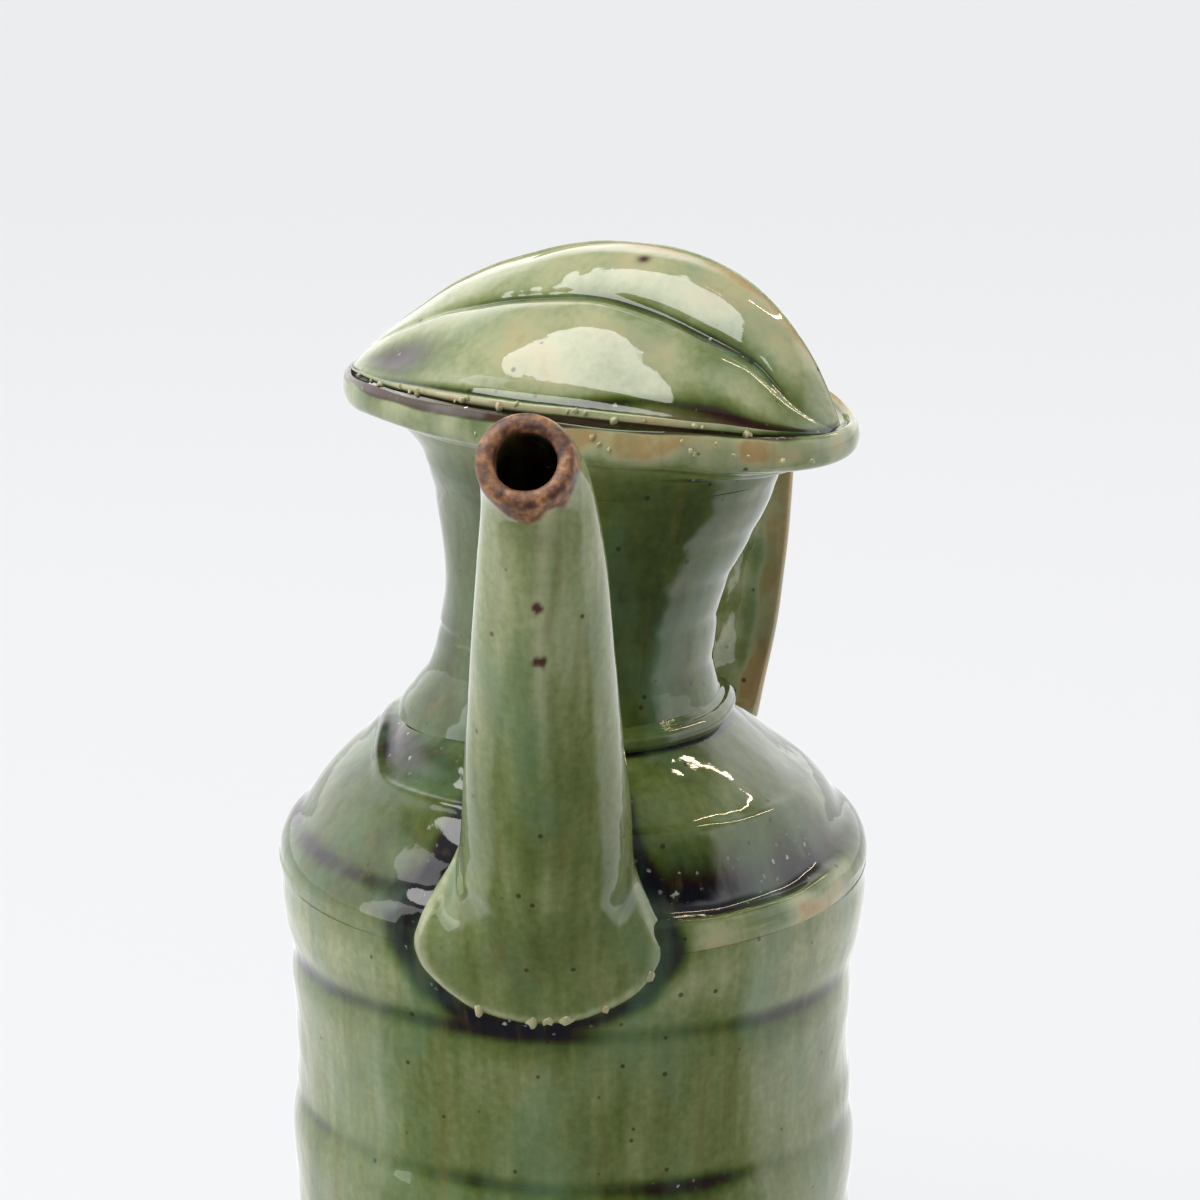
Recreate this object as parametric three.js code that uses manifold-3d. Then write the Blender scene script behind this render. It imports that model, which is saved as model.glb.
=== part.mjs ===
// Stoneware ewer with a hooded mouth, a tubular spout and a strap handle.
//
// The pot is one fired piece, but the potter makes it from clay parts that are shaped apart and
// luted together with slip. Each clay part is one named mesh here, 0.3 mm clear of its neighbours
// where two curved faces meet.
//
// Millimetres, +Z up. The origin is the centre of the foot on the table, the pot's axis is Z, and
// the spout points to -Y. The mouth and the handle are turned a little from the spout's line, as
// they were thrown and fixed by eye.
import * as THREE from "three";
import { mergeVertices } from "three/addons/utils/BufferGeometryUtils.js";
import Module from "manifold-3d";

const wasm = await Module();
wasm.setup();

// ---- Driving dimensions --------------------------------------------------------------------

const JOINT_GAP = 0.3; // between two luted faces that are curved
const AROUND = 48; // facets round the pot

const FOOT_HEIGHT = 9;
const FOOT_RADIUS = 43.2;
const WALL_THICKNESS = 5;
const SHOULDER_Z = 116.5; // where the wall turns in to the shoulder
const SHOULDER_RADIUS = 47.6;
const NECK_FOOT_Z = 141.5;
const NECK_RADIUS = 22;
const NECK_THICKNESS = 3.6;
const NECK_TOP_Z = 179;
const NECK_TOP_RADIUS = 24.4;
const NECK_OVAL = 0.17; // the neck's top is this much longer across than it is deep

const MOUTH_Z = 191.4; // top of the lip at the front and back of the mouth
const MOUTH_HALF_WIDTH = 43.4; // tip to tip it is twice this
const MOUTH_FRONT = 27; // from the mouth's centre to the lip in front
const MOUTH_BACK = 28;
const MOUTH_TURN = THREE.MathUtils.degToRad(-23.5); // the mouth's front, from the spout's line
const TIP_DROOP = 0.4; // the two tips hang lower than the front and back
const LIP_THICKNESS = 5.2;
const NECK_LEAN = 4.8; // the neck's top lies this far to +X of the axis
const MOUTH_SHIFT = -1.4; // and the mouth sits this far back along its own width
const MOUTH_TILT = 0.024; // the mouth's right tip hangs lower than its left one
const HOOD_TOP_Z = 213.4;
const HOOD_CREST_BACK = 5; // the crest stands this far behind the mouth's centre
const HOOD_SKEW = 0.12; // the crest is highest a little to the right of its middle
const HOOD_THICKNESS = 4;

const SPOUT_TIP_RADIUS = 7.2;
const SPOUT_ROOT_RADIUS = 13.6;
const SPOUT_BORE_RADIUS = 4.2; // at the tip
const SKIRT_REACH = 7.5; // how far the clay round the spout's root spreads past the tube
const PAD_THICKNESS = 1.6; // the thin apron of that clay on the wall and shoulder
const PAD_HALF_WIDTH = 19.5;
const PAD_HALF_HEIGHT = 16;
const PAD_Z = 118.4;

const HANDLE_TURN = THREE.MathUtils.degToRad(-24.5); // from straight behind the spout, towards +X
const STRAP_WIDTH = 26;
const STRAP_FOOT_WIDTH = 22;
const STRAP_THICKNESS = 4.6;

// ---- Colours of the glazes -----------------------------------------------------------------

const glaze = (name, colour, roughness) =>
  new THREE.MeshStandardMaterial({ name, color: colour, roughness, metalness: 0 });

const celadon = glaze("celadon_glaze", 0x7f8c6a, 0.12);
const paleCeladon = glaze("pale_celadon_glaze", 0xb4b795, 0.12);
const darkCeladon = glaze("dark_celadon_glaze", 0x55633f, 0.12);
const bareClay = glaze("bare_stoneware", 0x9b6f4a, 0.75);

// ---- Solids ----------------------------------------------------------------------------------

// A closed geometry as a manifold solid, turned the right way out.
function solidFrom(geometry) {
  const bare = geometry.clone();
  bare.deleteAttribute("normal");
  bare.deleteAttribute("uv");
  const merged = mergeVertices(bare, 1e-3);
  const build = (triVerts) =>
    new wasm.Manifold(
      new wasm.Mesh({
        numProp: 3,
        vertProperties: new Float32Array(merged.attributes.position.array),
        triVerts,
      }),
    );
  const triVerts = new Uint32Array(merged.index.array);
  const solid = build(triVerts);
  if (solid.volume() > 0) return solid;
  for (let i = 0; i < triVerts.length; i += 3) {
    [triVerts[i + 1], triVerts[i + 2]] = [triVerts[i + 2], triVerts[i + 1]];
  }
  return build(triVerts);
}

function geometryFrom(solid) {
  const mesh = solid.getMesh();
  const places = new Float32Array(mesh.numVert * 3);
  for (let i = 0; i < mesh.numVert; i++) {
    places.set(mesh.vertProperties.subarray(i * mesh.numProp, i * mesh.numProp + 3), i * 3);
  }
  const geometry = new THREE.BufferGeometry();
  geometry.setAttribute("position", new THREE.BufferAttribute(places, 3));
  geometry.setIndex(new THREE.BufferAttribute(new Uint32Array(mesh.triVerts), 1));
  geometry.computeVertexNormals();
  return geometry;
}

// A smooth outline through [radius, height] points.
function outline(points, steps) {
  return new THREE.SplineCurve(points.map(([r, z]) => new THREE.Vector2(r, z))).getPoints(steps);
}

// A profile turned round the pot's axis. A hollow ring's profile closes on itself.
function turned(profile, closed = true) {
  const points = closed ? [...profile, profile[0].clone()] : profile;
  return pulled(new THREE.LatheGeometry(points, AROUND).rotateX(Math.PI / 2));
}

// Rings of points joined into a skin. Every ring closes on itself, and the last ring joins the
// first, as on a bent pipe wall whose rings run up its outside and down its inside.
function ringSkin(rings) {
  const count = rings[0].length;
  const places = rings.flat().flatMap((p) => [p.x, p.y, p.z]);
  const index = [];
  rings.forEach((_, i) => {
    const next = (i + 1) % rings.length;
    for (let j = 0; j < count; j++) {
      const k = (j + 1) % count;
      const [a, b] = [i * count + j, i * count + k];
      const [c, d] = [next * count + j, next * count + k];
      index.push(a, b, d, a, d, c);
    }
  });
  const geometry = new THREE.BufferGeometry();
  geometry.setAttribute("position", new THREE.Float32BufferAttribute(places, 3));
  geometry.setIndex(index);
  return geometry;
}

// The sideways lean of the neck and mouth at a height: nothing at the shoulder, all of it at the top.
function leanAt(z) {
  return NECK_LEAN * THREE.MathUtils.smoothstep(z, NECK_FOOT_Z, NECK_TOP_Z);
}

// How much longer across than deep the neck is at a height.
const ovalAt = (z) => NECK_OVAL * THREE.MathUtils.smoothstep(z, NECK_FOOT_Z + 14, NECK_TOP_Z);

// A turned geometry pulled out of round: the neck goes oval towards the mouth and leans to +X.
function pulled(geometry) {
  const places = geometry.attributes.position;
  for (let i = 0; i < places.count; i++) {
    const [x, y, z] = [places.getX(i), places.getY(i), places.getZ(i)];
    const across = x * Math.cos(MOUTH_TURN) + y * Math.sin(MOUTH_TURN);
    const more = across * ovalAt(z);
    places.setX(i, x + more * Math.cos(MOUTH_TURN) + leanAt(z));
    places.setY(i, y + more * Math.sin(MOUTH_TURN));
  }
  return geometry;
}

// ---- Foot, wall, shoulder, collar and neck ---------------------------------------------------

// The thrown wall narrows a little towards each finger groove and steps out again below it.
const wallOutside = [
  [FOOT_RADIUS, FOOT_HEIGHT],
  [45, 14],
  [45.9, 20],
  [45.3, 25.5],
  [46.4, 31],
  [46.3, 40],
  [45.6, 51],
  [46, 55],
  [46.5, 67],
  [46.2, 73],
  [45.4, 79.5],
  [45.7, 86],
  [46, 95],
  [46.6, 106],
  [SHOULDER_RADIUS - 0.2, SHOULDER_Z - 2],
];
const shoulderOutside = [
  [SHOULDER_RADIUS - 0.2, SHOULDER_Z - 2],
  [SHOULDER_RADIUS, SHOULDER_Z + 0.5],
  [46.6, 119.6],
  [44.2, 122],
  [42.1, 125],
  [38.2, 129.9],
  [32.6, 134.5],
  [28.4, 137.4],
];

const inward = (points, by, down = 0) => points.map(([r, z]) => [r - by, z - down]).reverse();

// The base is cut flat off the wheel, and its lower edge is trimmed to a bevel.
function footProfile() {
  const bevel = 2;
  return [
    [0, 0],
    [FOOT_RADIUS - bevel, 0],
    [FOOT_RADIUS, bevel],
    [FOOT_RADIUS, FOOT_HEIGHT],
    [0, FOOT_HEIGHT],
  ].map(([r, z]) => new THREE.Vector2(r, z));
}

function wallProfile() {
  const inside = [
    [SHOULDER_RADIUS - WALL_THICKNESS, SHOULDER_Z - 2],
    [46 - WALL_THICKNESS, 95],
    [46 - WALL_THICKNESS, 55],
    [46 - WALL_THICKNESS, 22],
    [FOOT_RADIUS - WALL_THICKNESS, FOOT_HEIGHT],
  ];
  return [...outline(wallOutside, 34), ...outline(inside, 10)];
}

function shoulderProfile() {
  const inside = [
    [26, 134.6],
    [33, 130],
    [38.6, 122.6],
    [41.6, 118.6],
    [SHOULDER_RADIUS - WALL_THICKNESS, SHOULDER_Z - 2],
  ];
  return [...outline(shoulderOutside, 16), ...outline(inside, 8)];
}

// The ring of clay that steps up from the shoulder and beds the neck.
function collarProfile() {
  return [
    [28.1, 137.4 + JOINT_GAP],
    [28, 139.1],
    [26.9, 140.4],
    [25.2, 141.3],
    [NECK_RADIUS + 1.6, NECK_FOOT_Z],
    [NECK_RADIUS + 1.6 - NECK_THICKNESS, NECK_FOOT_Z],
    [NECK_RADIUS - 1.2, 138],
    [25.7, 134.6 + JOINT_GAP],
  ].map(([r, z]) => new THREE.Vector2(r, z));
}

const neckOutside = [
  [NECK_RADIUS + 1.6, NECK_FOOT_Z],
  [NECK_RADIUS + 0.4, 145.5],
  [NECK_RADIUS, 152],
  [NECK_RADIUS, 158.5],
  [NECK_RADIUS + 0.3, 165.5],
  [NECK_RADIUS + 1.1, 173],
  [NECK_TOP_RADIUS, NECK_TOP_Z],
];

function neckProfile() {
  return [...outline(neckOutside, 14), ...outline(inward(neckOutside, NECK_THICKNESS), 10)];
}

// ---- Mouth and hood --------------------------------------------------------------------------

// A point of the mouth's own plan, as a place on the pot: u runs from tip to tip, v to the back.
function mouthPoint(u, v, z) {
  const [c, s] = [Math.cos(MOUTH_TURN), Math.sin(MOUTH_TURN)];
  return new THREE.Vector3(leanAt(z) + u * c - v * s, u * s + v * c, z);
}

const lipDepth = (angle) => (Math.sin(angle) < 0 ? MOUTH_FRONT : MOUTH_BACK);

// The lip's height, where share runs from -1 at the left tip to 1 at the right one.
const lipTop = (share) =>
  MOUTH_Z - TIP_DROOP * share ** 2 - MOUTH_TILT * share * MOUTH_HALF_WIDTH;

// One slice through the flared mouth at an angle round it, from the neck out to the lip and back.
function mouthSlice(angle) {
  const [c, s] = [Math.cos(angle), Math.sin(angle)];
  const width = MOUTH_HALF_WIDTH * c + MOUTH_SHIFT;
  const depth = lipDepth(angle) * s;
  const top = lipTop(c);
  const neckInside = NECK_TOP_RADIUS - NECK_THICKNESS;
  // [share of the way from the neck to the lip, height], outside first and then inside
  const outside = [
    [0, NECK_TOP_Z],
    [0.1, NECK_TOP_Z + 3],
    [0.32, top - 7.4],
    [0.62, top - 5.9],
    [0.93, top - LIP_THICKNESS],
    [1, top - LIP_THICKNESS / 2],
    [0.96, top - 0.5],
    [0.9, top],
  ];
  const inside = [
    [0.76, top - 0.6],
    [0.55, top - 2.4],
    [0.3, top - 5.6],
    [0.12, NECK_TOP_Z + 5],
    [0, NECK_TOP_Z],
  ];
  const at = (start, [share, z]) => {
    const u = THREE.MathUtils.lerp(start * (1 + NECK_OVAL) * c, width, share);
    const v = THREE.MathUtils.lerp(start * s, depth, share);
    return mouthPoint(u, v, z);
  };
  return [...outside.map((p) => at(NECK_TOP_RADIUS, p)), ...inside.map((p) => at(neckInside, p))];
}

function mouthFlange() {
  const slices = [];
  for (let i = 0; i < AROUND; i++) slices.push(mouthSlice((i / AROUND) * 2 * Math.PI));
  return ringSkin(slices);
}

// The flange with a joint's gap round it, which the hood and the handle are cut by.
const mouthSolid = solidFrom(mouthFlange());
const mouthClear = [-1, 1]
  .flatMap((way) => [
    [way, 0, 0],
    [0, way, 0],
    [0, 0, way],
  ])
  .map((move) => mouthSolid.translate(move.map((x) => x * JOINT_GAP)))
  .reduce((all, moved) => all.add(moved), mouthSolid);

// The hood's outer face: along runs from -1 at the left tip to 1 at the right one, and up from 0
// on the lip to 1 at the crest. sink moves the point in, square to the slope.
function hoodPoint(along, up, sink) {
  const arch = 1 - along * along;
  const reach = 0.93 * MOUTH_HALF_WIDTH;
  const front = -0.9 * MOUTH_FRONT * Math.sqrt(arch);
  const back = HOOD_CREST_BACK * arch;
  const foot = lipTop(along) + JOINT_GAP;
  const highest = 1 - (along - HOOD_SKEW * arch) ** 2;
  const crest = foot + (HOOD_TOP_Z - MOUTH_Z) * highest ** 0.74;
  const belly = Math.sin(Math.PI * up) * 3.6 * arch;
  const v = THREE.MathUtils.lerp(front, back, up ** 1.15) - 0.6 * belly;
  const z = THREE.MathUtils.lerp(foot, crest, up ** 0.92) + 0.7 * belly;
  const slant = Math.sin(0.5 * Math.PI * Math.min(1, up * 1.4));
  return mouthPoint(along * reach + MOUTH_SHIFT, v + sink * (1 - 0.35 * slant), z - sink * 0.85 * slant);
}

function hood() {
  const across = 28;
  const rise = 8;
  const loops = [];
  for (let i = 0; i <= across; i++) {
    const along = 0.985 * Math.sin((i / across - 0.5) * Math.PI);
    const thin = HOOD_THICKNESS * Math.min(1, 0.25 + 1.5 * (1 - along * along));
    const loop = [];
    for (let j = 0; j <= rise; j++) loop.push(hoodPoint(along, j / rise, 0));
    for (let j = rise; j >= 0; j--) loop.push(hoodPoint(along, j / rise, thin));
    loops.push(loop);
  }
  const shell = solidFrom(capped(ringSkin(loops), loops.length, loops[0].length));
  return shell.subtract(mouthClear);
}

// ringSkin joins its last ring to its first. An open strip has those faces taken off again and a
// flat fan put on each end.
function capped(skin, ringCount, pointCount) {
  const kept = Array.from(skin.index.array).slice(0, (ringCount - 1) * pointCount * 6);
  const last = (ringCount - 1) * pointCount;
  for (let j = 1; j < pointCount - 1; j++) {
    kept.push(0, j + 1, j);
    kept.push(last, last + j, last + j + 1);
  }
  skin.setIndex(kept);
  return skin;
}

// ---- Spout -------------------------------------------------------------------------------------

// The spout's centre line, from inside the body up to its mouth, which bends out to the front and
// a little to the left.
const spoutLine = new THREE.CatmullRomCurve3([
  new THREE.Vector3(-0.6, -14, 105),
  new THREE.Vector3(-0.5, -28, 111),
  new THREE.Vector3(-0.2, -38, 123),
  new THREE.Vector3(0.3, -43.6, 138),
  new THREE.Vector3(0.5, -48.6, 158),
  new THREE.Vector3(0.5, -52.6, 175),
  new THREE.Vector3(1.1, -55.4, 184.5),
  new THREE.Vector3(1.4, -58.8, 190.2),
  new THREE.Vector3(-0.4, -63.6, 193.3),
]);

function spoutRadius(share) {
  return THREE.MathUtils.lerp(SPOUT_ROOT_RADIUS + 0.8, SPOUT_TIP_RADIUS, share ** 1.15);
}

// Rings along the centre line, each square to it, with the radius that a function gives.
function ringsAlong(curve, radiusAt, from, to, steps, sides) {
  const rings = [];
  const sideways = new THREE.Vector3(1, 0, 0);
  for (let i = 0; i <= steps; i++) {
    const share = THREE.MathUtils.lerp(from, to, i / steps);
    const centre = curve.getPointAt(share);
    const tangent = curve.getTangentAt(share);
    const across = sideways.clone().addScaledVector(tangent, -tangent.dot(sideways)).normalize();
    const over = new THREE.Vector3().crossVectors(tangent, across);
    const radius = radiusAt(share);
    const ring = [];
    for (let j = 0; j < sides; j++) {
      const angle = (j / sides) * 2 * Math.PI;
      const point = centre.clone().addScaledVector(across, radius * Math.cos(angle));
      ring.push(point.addScaledVector(over, radius * Math.sin(angle)));
    }
    rings.push(ring);
  }
  return rings;
}

function rod(curve, radiusAt, from, to, steps, sides) {
  const rings = ringsAlong(curve, radiusAt, from, to, steps, sides);
  return solidFrom(capped(ringSkin(rings), rings.length, sides));
}

const bodyGrown = (by) => {
  const points = [...wallOutside, ...shoulderOutside.slice(1)].map(([r, z]) => [r + by, z + 0.4 * by]);
  const skin = outline(points, 44);
  const top = new THREE.Vector2(0, skin.at(-1).y);
  const bottom = new THREE.Vector2(0, skin[0].y);
  return solidFrom(turned([bottom, ...skin, top], false));
};

const SPOUT_SIDES = 32;
const boreRadius = (share) => (spoutRadius(share) * SPOUT_BORE_RADIUS) / SPOUT_TIP_RADIUS;
const bore = rod(spoutLine, boreRadius, 0, 1, 20, SPOUT_SIDES);
const bodySkin = bodyGrown(JOINT_GAP);

function spout() {
  return rod(spoutLine, spoutRadius, 0, 0.995, 30, SPOUT_SIDES).subtract(bodySkin).subtract(bore);
}

// The skirt of clay that is worked over the joint round the spout's root. It thins out to nothing
// up the tube and spreads on the wall and shoulder below.
function spoutRoot() {
  const spread = (share) => {
    const flare = 1 - THREE.MathUtils.smoothstep(share, 0.1, 0.38);
    return spoutRadius(share) + 0.8 + SKIRT_REACH * flare;
  };
  const skirt = rod(spoutLine, spread, 0, 0.42, 18, SPOUT_SIDES);
  const clear = rod(spoutLine, (s) => spoutRadius(s) + JOINT_GAP, 0, 0.9, 27, SPOUT_SIDES);
  const edge = new THREE.CylinderGeometry(PAD_HALF_WIDTH, PAD_HALF_WIDTH, 60, AROUND);
  edge.scale(1, 1, PAD_HALF_HEIGHT / PAD_HALF_WIDTH).translate(-1, -40, PAD_Z);
  const apron = bodyGrown(PAD_THICKNESS).intersect(solidFrom(edge));
  const pieces = skirt.add(apron).subtract(bodySkin).subtract(clear).decompose();
  return pieces.sort((a, b) => b.volume() - a.volume())[0];
}

// ---- Handle --------------------------------------------------------------------------------

// The strap's middle line as [distance from the axis, height].
const strapLine = [
  [27.5, 187],
  [31.5, 193.6],
  [37.5, 197.3],
  [45, 197],
  [51.4, 191.6],
  [54.4, 182],
  [54.8, 168],
  [53.4, 153],
  [49.6, 139.6],
  [43.8, 129.6],
  [36.6, 123.4],
];

function handle() {
  const steps = 30;
  const middle = outline(strapLine, steps);
  const outward = new THREE.Vector3(-Math.sin(HANDLE_TURN), Math.cos(HANDLE_TURN), 0);
  const across = new THREE.Vector3(outward.y, -outward.x, 0);
  const up = new THREE.Vector3(0, 0, 1);
  const edge = new THREE.Vector2();
  const loops = middle.map((point, i) => {
    const ahead = middle[Math.min(i + 1, steps)];
    const behind = middle[Math.max(i - 1, 0)];
    const along = edge.subVectors(ahead, behind).normalize();
    const out = outward.clone().multiplyScalar(-along.y).addScaledVector(up, along.x);
    const centre = outward.clone().multiplyScalar(point.x).addScaledVector(up, point.y);
    const width = THREE.MathUtils.lerp(STRAP_WIDTH, STRAP_FOOT_WIDTH, i / steps);
    const sides = 14;
    const loop = [];
    for (let j = 0; j < sides; j++) {
      const angle = (j / sides) * 2 * Math.PI;
      const [c, s] = [Math.cos(angle), Math.sin(angle)];
      const wide = Math.sign(c) * Math.abs(c) ** 0.55 * (width / 2);
      const deep = Math.sign(s) * Math.abs(s) ** 0.7 * (STRAP_THICKNESS / 2);
      loop.push(centre.clone().addScaledVector(across, wide).addScaledVector(out, deep));
    }
    return loop;
  });
  const strap = solidFrom(capped(ringSkin(loops), loops.length, loops[0].length));
  return strap.subtract(bodySkin).subtract(mouthClear);
}

// ---- Assembly --------------------------------------------------------------------------------

const pitcher = new THREE.Group();
function add(name, geometry, material) {
  const mesh = new THREE.Mesh(geometry, material);
  mesh.name = name;
  pitcher.add(mesh);
}

const withBore = (geometry) => geometryFrom(solidFrom(geometry).subtract(bore));

add("foot", turned(footProfile(), false), bareClay);
add("body_wall", withBore(turned(wallProfile())), celadon);
add("shoulder", withBore(turned(shoulderProfile())), darkCeladon);
add("neck_collar", turned(collarProfile()), darkCeladon);
add("neck", turned(neckProfile()), celadon);
add("mouth_flange", geometryFrom(mouthSolid), paleCeladon);
add("hood", geometryFrom(hood()), paleCeladon);
add("spout", geometryFrom(spout()), celadon);
add("spout_root", geometryFrom(spoutRoot()), celadon);
add("handle", geometryFrom(handle()), celadon);

export default pitcher;
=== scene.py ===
# %% [markdown]
# # A hooded stoneware pitcher in celadon glaze
#
# The real pot is one fired piece, but the potter made it from clay parts that were shaped apart
# and luted together: a thrown cylinder, a shoulder, a neck, a flared oval mouth, a hood folded
# over the front of it, a tapered spout and a pulled strap handle. Here each clay part is its own
# mesh, built round the box that the CAD frame holds for it, and one glaze runs over all of them.

# %% Load the frame
import math

import bpy
import numpy as np
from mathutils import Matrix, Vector
from mathutils.bvhtree import BVHTree


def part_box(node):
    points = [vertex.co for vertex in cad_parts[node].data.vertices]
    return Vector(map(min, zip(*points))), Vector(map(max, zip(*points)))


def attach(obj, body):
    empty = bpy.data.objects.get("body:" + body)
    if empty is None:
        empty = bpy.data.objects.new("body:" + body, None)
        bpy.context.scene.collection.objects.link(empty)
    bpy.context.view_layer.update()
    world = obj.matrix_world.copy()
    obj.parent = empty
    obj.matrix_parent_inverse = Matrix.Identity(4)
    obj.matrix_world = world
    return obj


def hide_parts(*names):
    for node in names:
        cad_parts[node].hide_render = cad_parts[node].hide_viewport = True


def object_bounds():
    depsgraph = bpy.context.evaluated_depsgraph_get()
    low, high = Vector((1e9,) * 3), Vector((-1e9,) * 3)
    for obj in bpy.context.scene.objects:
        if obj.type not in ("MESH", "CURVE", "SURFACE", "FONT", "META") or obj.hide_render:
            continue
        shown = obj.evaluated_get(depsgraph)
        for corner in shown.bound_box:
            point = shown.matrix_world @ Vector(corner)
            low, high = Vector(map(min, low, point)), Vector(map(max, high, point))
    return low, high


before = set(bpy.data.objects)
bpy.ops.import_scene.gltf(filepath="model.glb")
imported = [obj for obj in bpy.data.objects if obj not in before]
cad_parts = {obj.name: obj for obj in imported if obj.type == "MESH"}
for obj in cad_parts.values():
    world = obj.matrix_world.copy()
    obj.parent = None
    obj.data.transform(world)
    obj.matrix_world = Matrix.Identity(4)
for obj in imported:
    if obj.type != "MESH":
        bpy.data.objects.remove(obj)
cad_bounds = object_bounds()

MM = 0.001  # metres in a millimetre


def cad_box(node):
    """A CAD node's lowest and highest corner in millimetres."""
    return tuple(np.array(corner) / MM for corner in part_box(node))


WALL_TOP_Z = cad_box("body_wall")[1][2]
BOX_LOW, BOX_HIGH = (np.array(corner) / MM for corner in cad_bounds)
print("the CAD pitcher is", [round((b - a) / MM, 1) for a, b in zip(*cad_bounds)], "mm")

# %% [markdown]
# ## The camera
#
# A fairly long lens looks down a little on the pot from near the front, so the foot of the
# body falls below its frame. The camera comes first because everything after it is judged by
# what it shows. It is aimed at a point on the neck, a little beside the pot's axis.

# %% Camera
CAMERA_AZIMUTH = math.radians(5)  # from the spout's line, towards the pot's left
CAMERA_ELEVATION = math.radians(15.7)
CAMERA_DISTANCE = 468 * MM
AIM_HEIGHT = 156.5 * MM
AIM_ASIDE = 4.4 * MM
LENS_LENGTH, SENSOR_WIDTH = 88.4, 36  # millimetres

to_camera = Vector((
    math.sin(CAMERA_AZIMUTH) * math.cos(CAMERA_ELEVATION),
    -math.cos(CAMERA_AZIMUTH) * math.cos(CAMERA_ELEVATION),
    math.sin(CAMERA_ELEVATION),
))
camera_right = Vector((math.cos(CAMERA_AZIMUTH), math.sin(CAMERA_AZIMUTH), 0))
aim = camera_right * AIM_ASIDE + Vector((0, 0, AIM_HEIGHT))

camera_data = bpy.data.cameras.new("camera")
camera_data.lens = LENS_LENGTH
camera_data.sensor_width = SENSOR_WIDTH
camera_data.clip_start = 0.01
camera = bpy.data.objects.new("camera", camera_data)
camera.location = aim + to_camera * CAMERA_DISTANCE
camera.rotation_euler = to_camera.to_track_quat("Z", "Y").to_euler()
bpy.context.collection.objects.link(camera)
bpy.context.scene.camera = camera
print("camera at", [round(x, 3) for x in camera.location])

# %% [markdown]
# ## The shapes that several parts share
#
# A potter's wheel makes round things, and hands then pull them out of round. `lean` and `oval`
# say how far the neck and mouth are pulled at a height, and `unit_wave` is a slow, smooth
# unevenness made of a few sine waves in random directions. That is enough for clay, costs one
# line of numpy, and gives the same pot on every run because its seed is fixed.

# %% Driving sizes and hand-made unevenness
NECK_FOOT_Z, NECK_TOP_Z = (corner[2] for corner in cad_box("neck"))
NECK_RADIUS = 22.0
NECK_TOP_RADIUS = 24.4
NECK_OVAL = 0.17
NECK_LEAN = 4.8
MOUTH_TURN = math.radians(-23.5)
MOUTH_SHIFT = -1.4
MOUTH_TILT = 0.024
MOUTH_HALF_WIDTH = 43.4
MOUTH_FRONT = 27.0
MOUTH_BACK = 28.0
MOUTH_Z = 191.4
LIP_THICKNESS = 5.2
HOOD_TOP_Z = 213.4


def smoothstep(x, low, high):
    """0 below low, 1 above high, and a soft S between them."""
    t = np.clip((x - low) / (high - low), 0, 1)
    return t * t * (3 - 2 * t)


def bump(x, middle, width):
    """A bell with height 1."""
    return np.exp(-(((x - middle) / width) ** 2))


def lean(z):
    """How far the neck's middle has moved towards +X at a height."""
    return NECK_LEAN * smoothstep(z, NECK_FOOT_Z, NECK_TOP_Z)


def oval(z):
    """The share by which the neck is wider than round at a height."""
    return NECK_OVAL * smoothstep(z, NECK_FOOT_Z + 14, NECK_TOP_Z)


def unit_wave(points, length, seed, waves=12):
    """Smooth unevenness between about -1 and 1, whose lumps are about that long in mm."""
    random = np.random.default_rng(seed)
    ways = random.normal(size=(waves, 3))
    ways /= np.linalg.norm(ways, axis=1)[:, None]
    rates = 2 * math.pi / (2 * length * random.uniform(0.7, 1.5, waves))
    phases = random.uniform(0, 2 * math.pi, waves)
    return np.sin(points @ (ways * rates[:, None]).T + phases).sum(-1) / math.sqrt(waves)


def pulled(points):
    """Round points moved to where the oval, leaning neck has them."""
    x, y, z = (points[..., i] for i in range(3))
    across = x * math.cos(MOUTH_TURN) + y * math.sin(MOUTH_TURN)
    more = across * oval(z)
    moved = [x + more * math.cos(MOUTH_TURN) + lean(z), y + more * math.sin(MOUTH_TURN), z]
    return np.stack(moved, axis=-1)


def mouth_place(u, v, z):
    """A point of the mouth's own plan: u from its left tip to its right, v towards its back."""
    c, s = math.cos(MOUTH_TURN), math.sin(MOUTH_TURN)
    x = lean(z) + (u + MOUTH_SHIFT) * c - v * s
    y = (u + MOUTH_SHIFT) * s + v * c
    return np.stack(np.broadcast_arrays(x, y, z), axis=-1)


# %% [markdown]
# Every part is a grid of points: rings or slices, one after another. `skin` joins such a grid
# into one closed mesh. The grid can close on itself both ways, like a bent pipe's wall, or it can
# end in two fans. Working on whole arrays keeps a hundred thousand points quick.

# %% Grid to mesh
def smooth_line(points, count):
    """A smooth open line (a Catmull-Rom spline) through a few points, evenly spaced along it."""
    points = np.array(points, dtype=float)
    before, after = 2 * points[0] - points[1], 2 * points[-1] - points[-2]
    p = np.vstack([before, points, after])
    t = np.linspace(0, 1, 24, endpoint=False)[:, None]
    parts = []
    for i in range(1, len(p) - 2):
        a, b, c, d = p[i - 1 : i + 3]
        parts.append(0.5 * (2 * b + (c - a) * t + (2 * a - 5 * b + 4 * c - d) * t**2
                            + (3 * b - a - 3 * c + d) * t**3))
    line = np.vstack([*parts, points[-1:]])
    return evenly(line, count)


def evenly(line, count):
    """The same line with that many points, equally far apart."""
    steps = np.linalg.norm(np.diff(line, axis=0), axis=1)
    run = np.concatenate([[0], np.cumsum(steps)])
    wanted = np.linspace(0, run[-1], count)
    return np.stack([np.interp(wanted, run, line[:, i]) for i in range(line.shape[1])], axis=-1)


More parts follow.
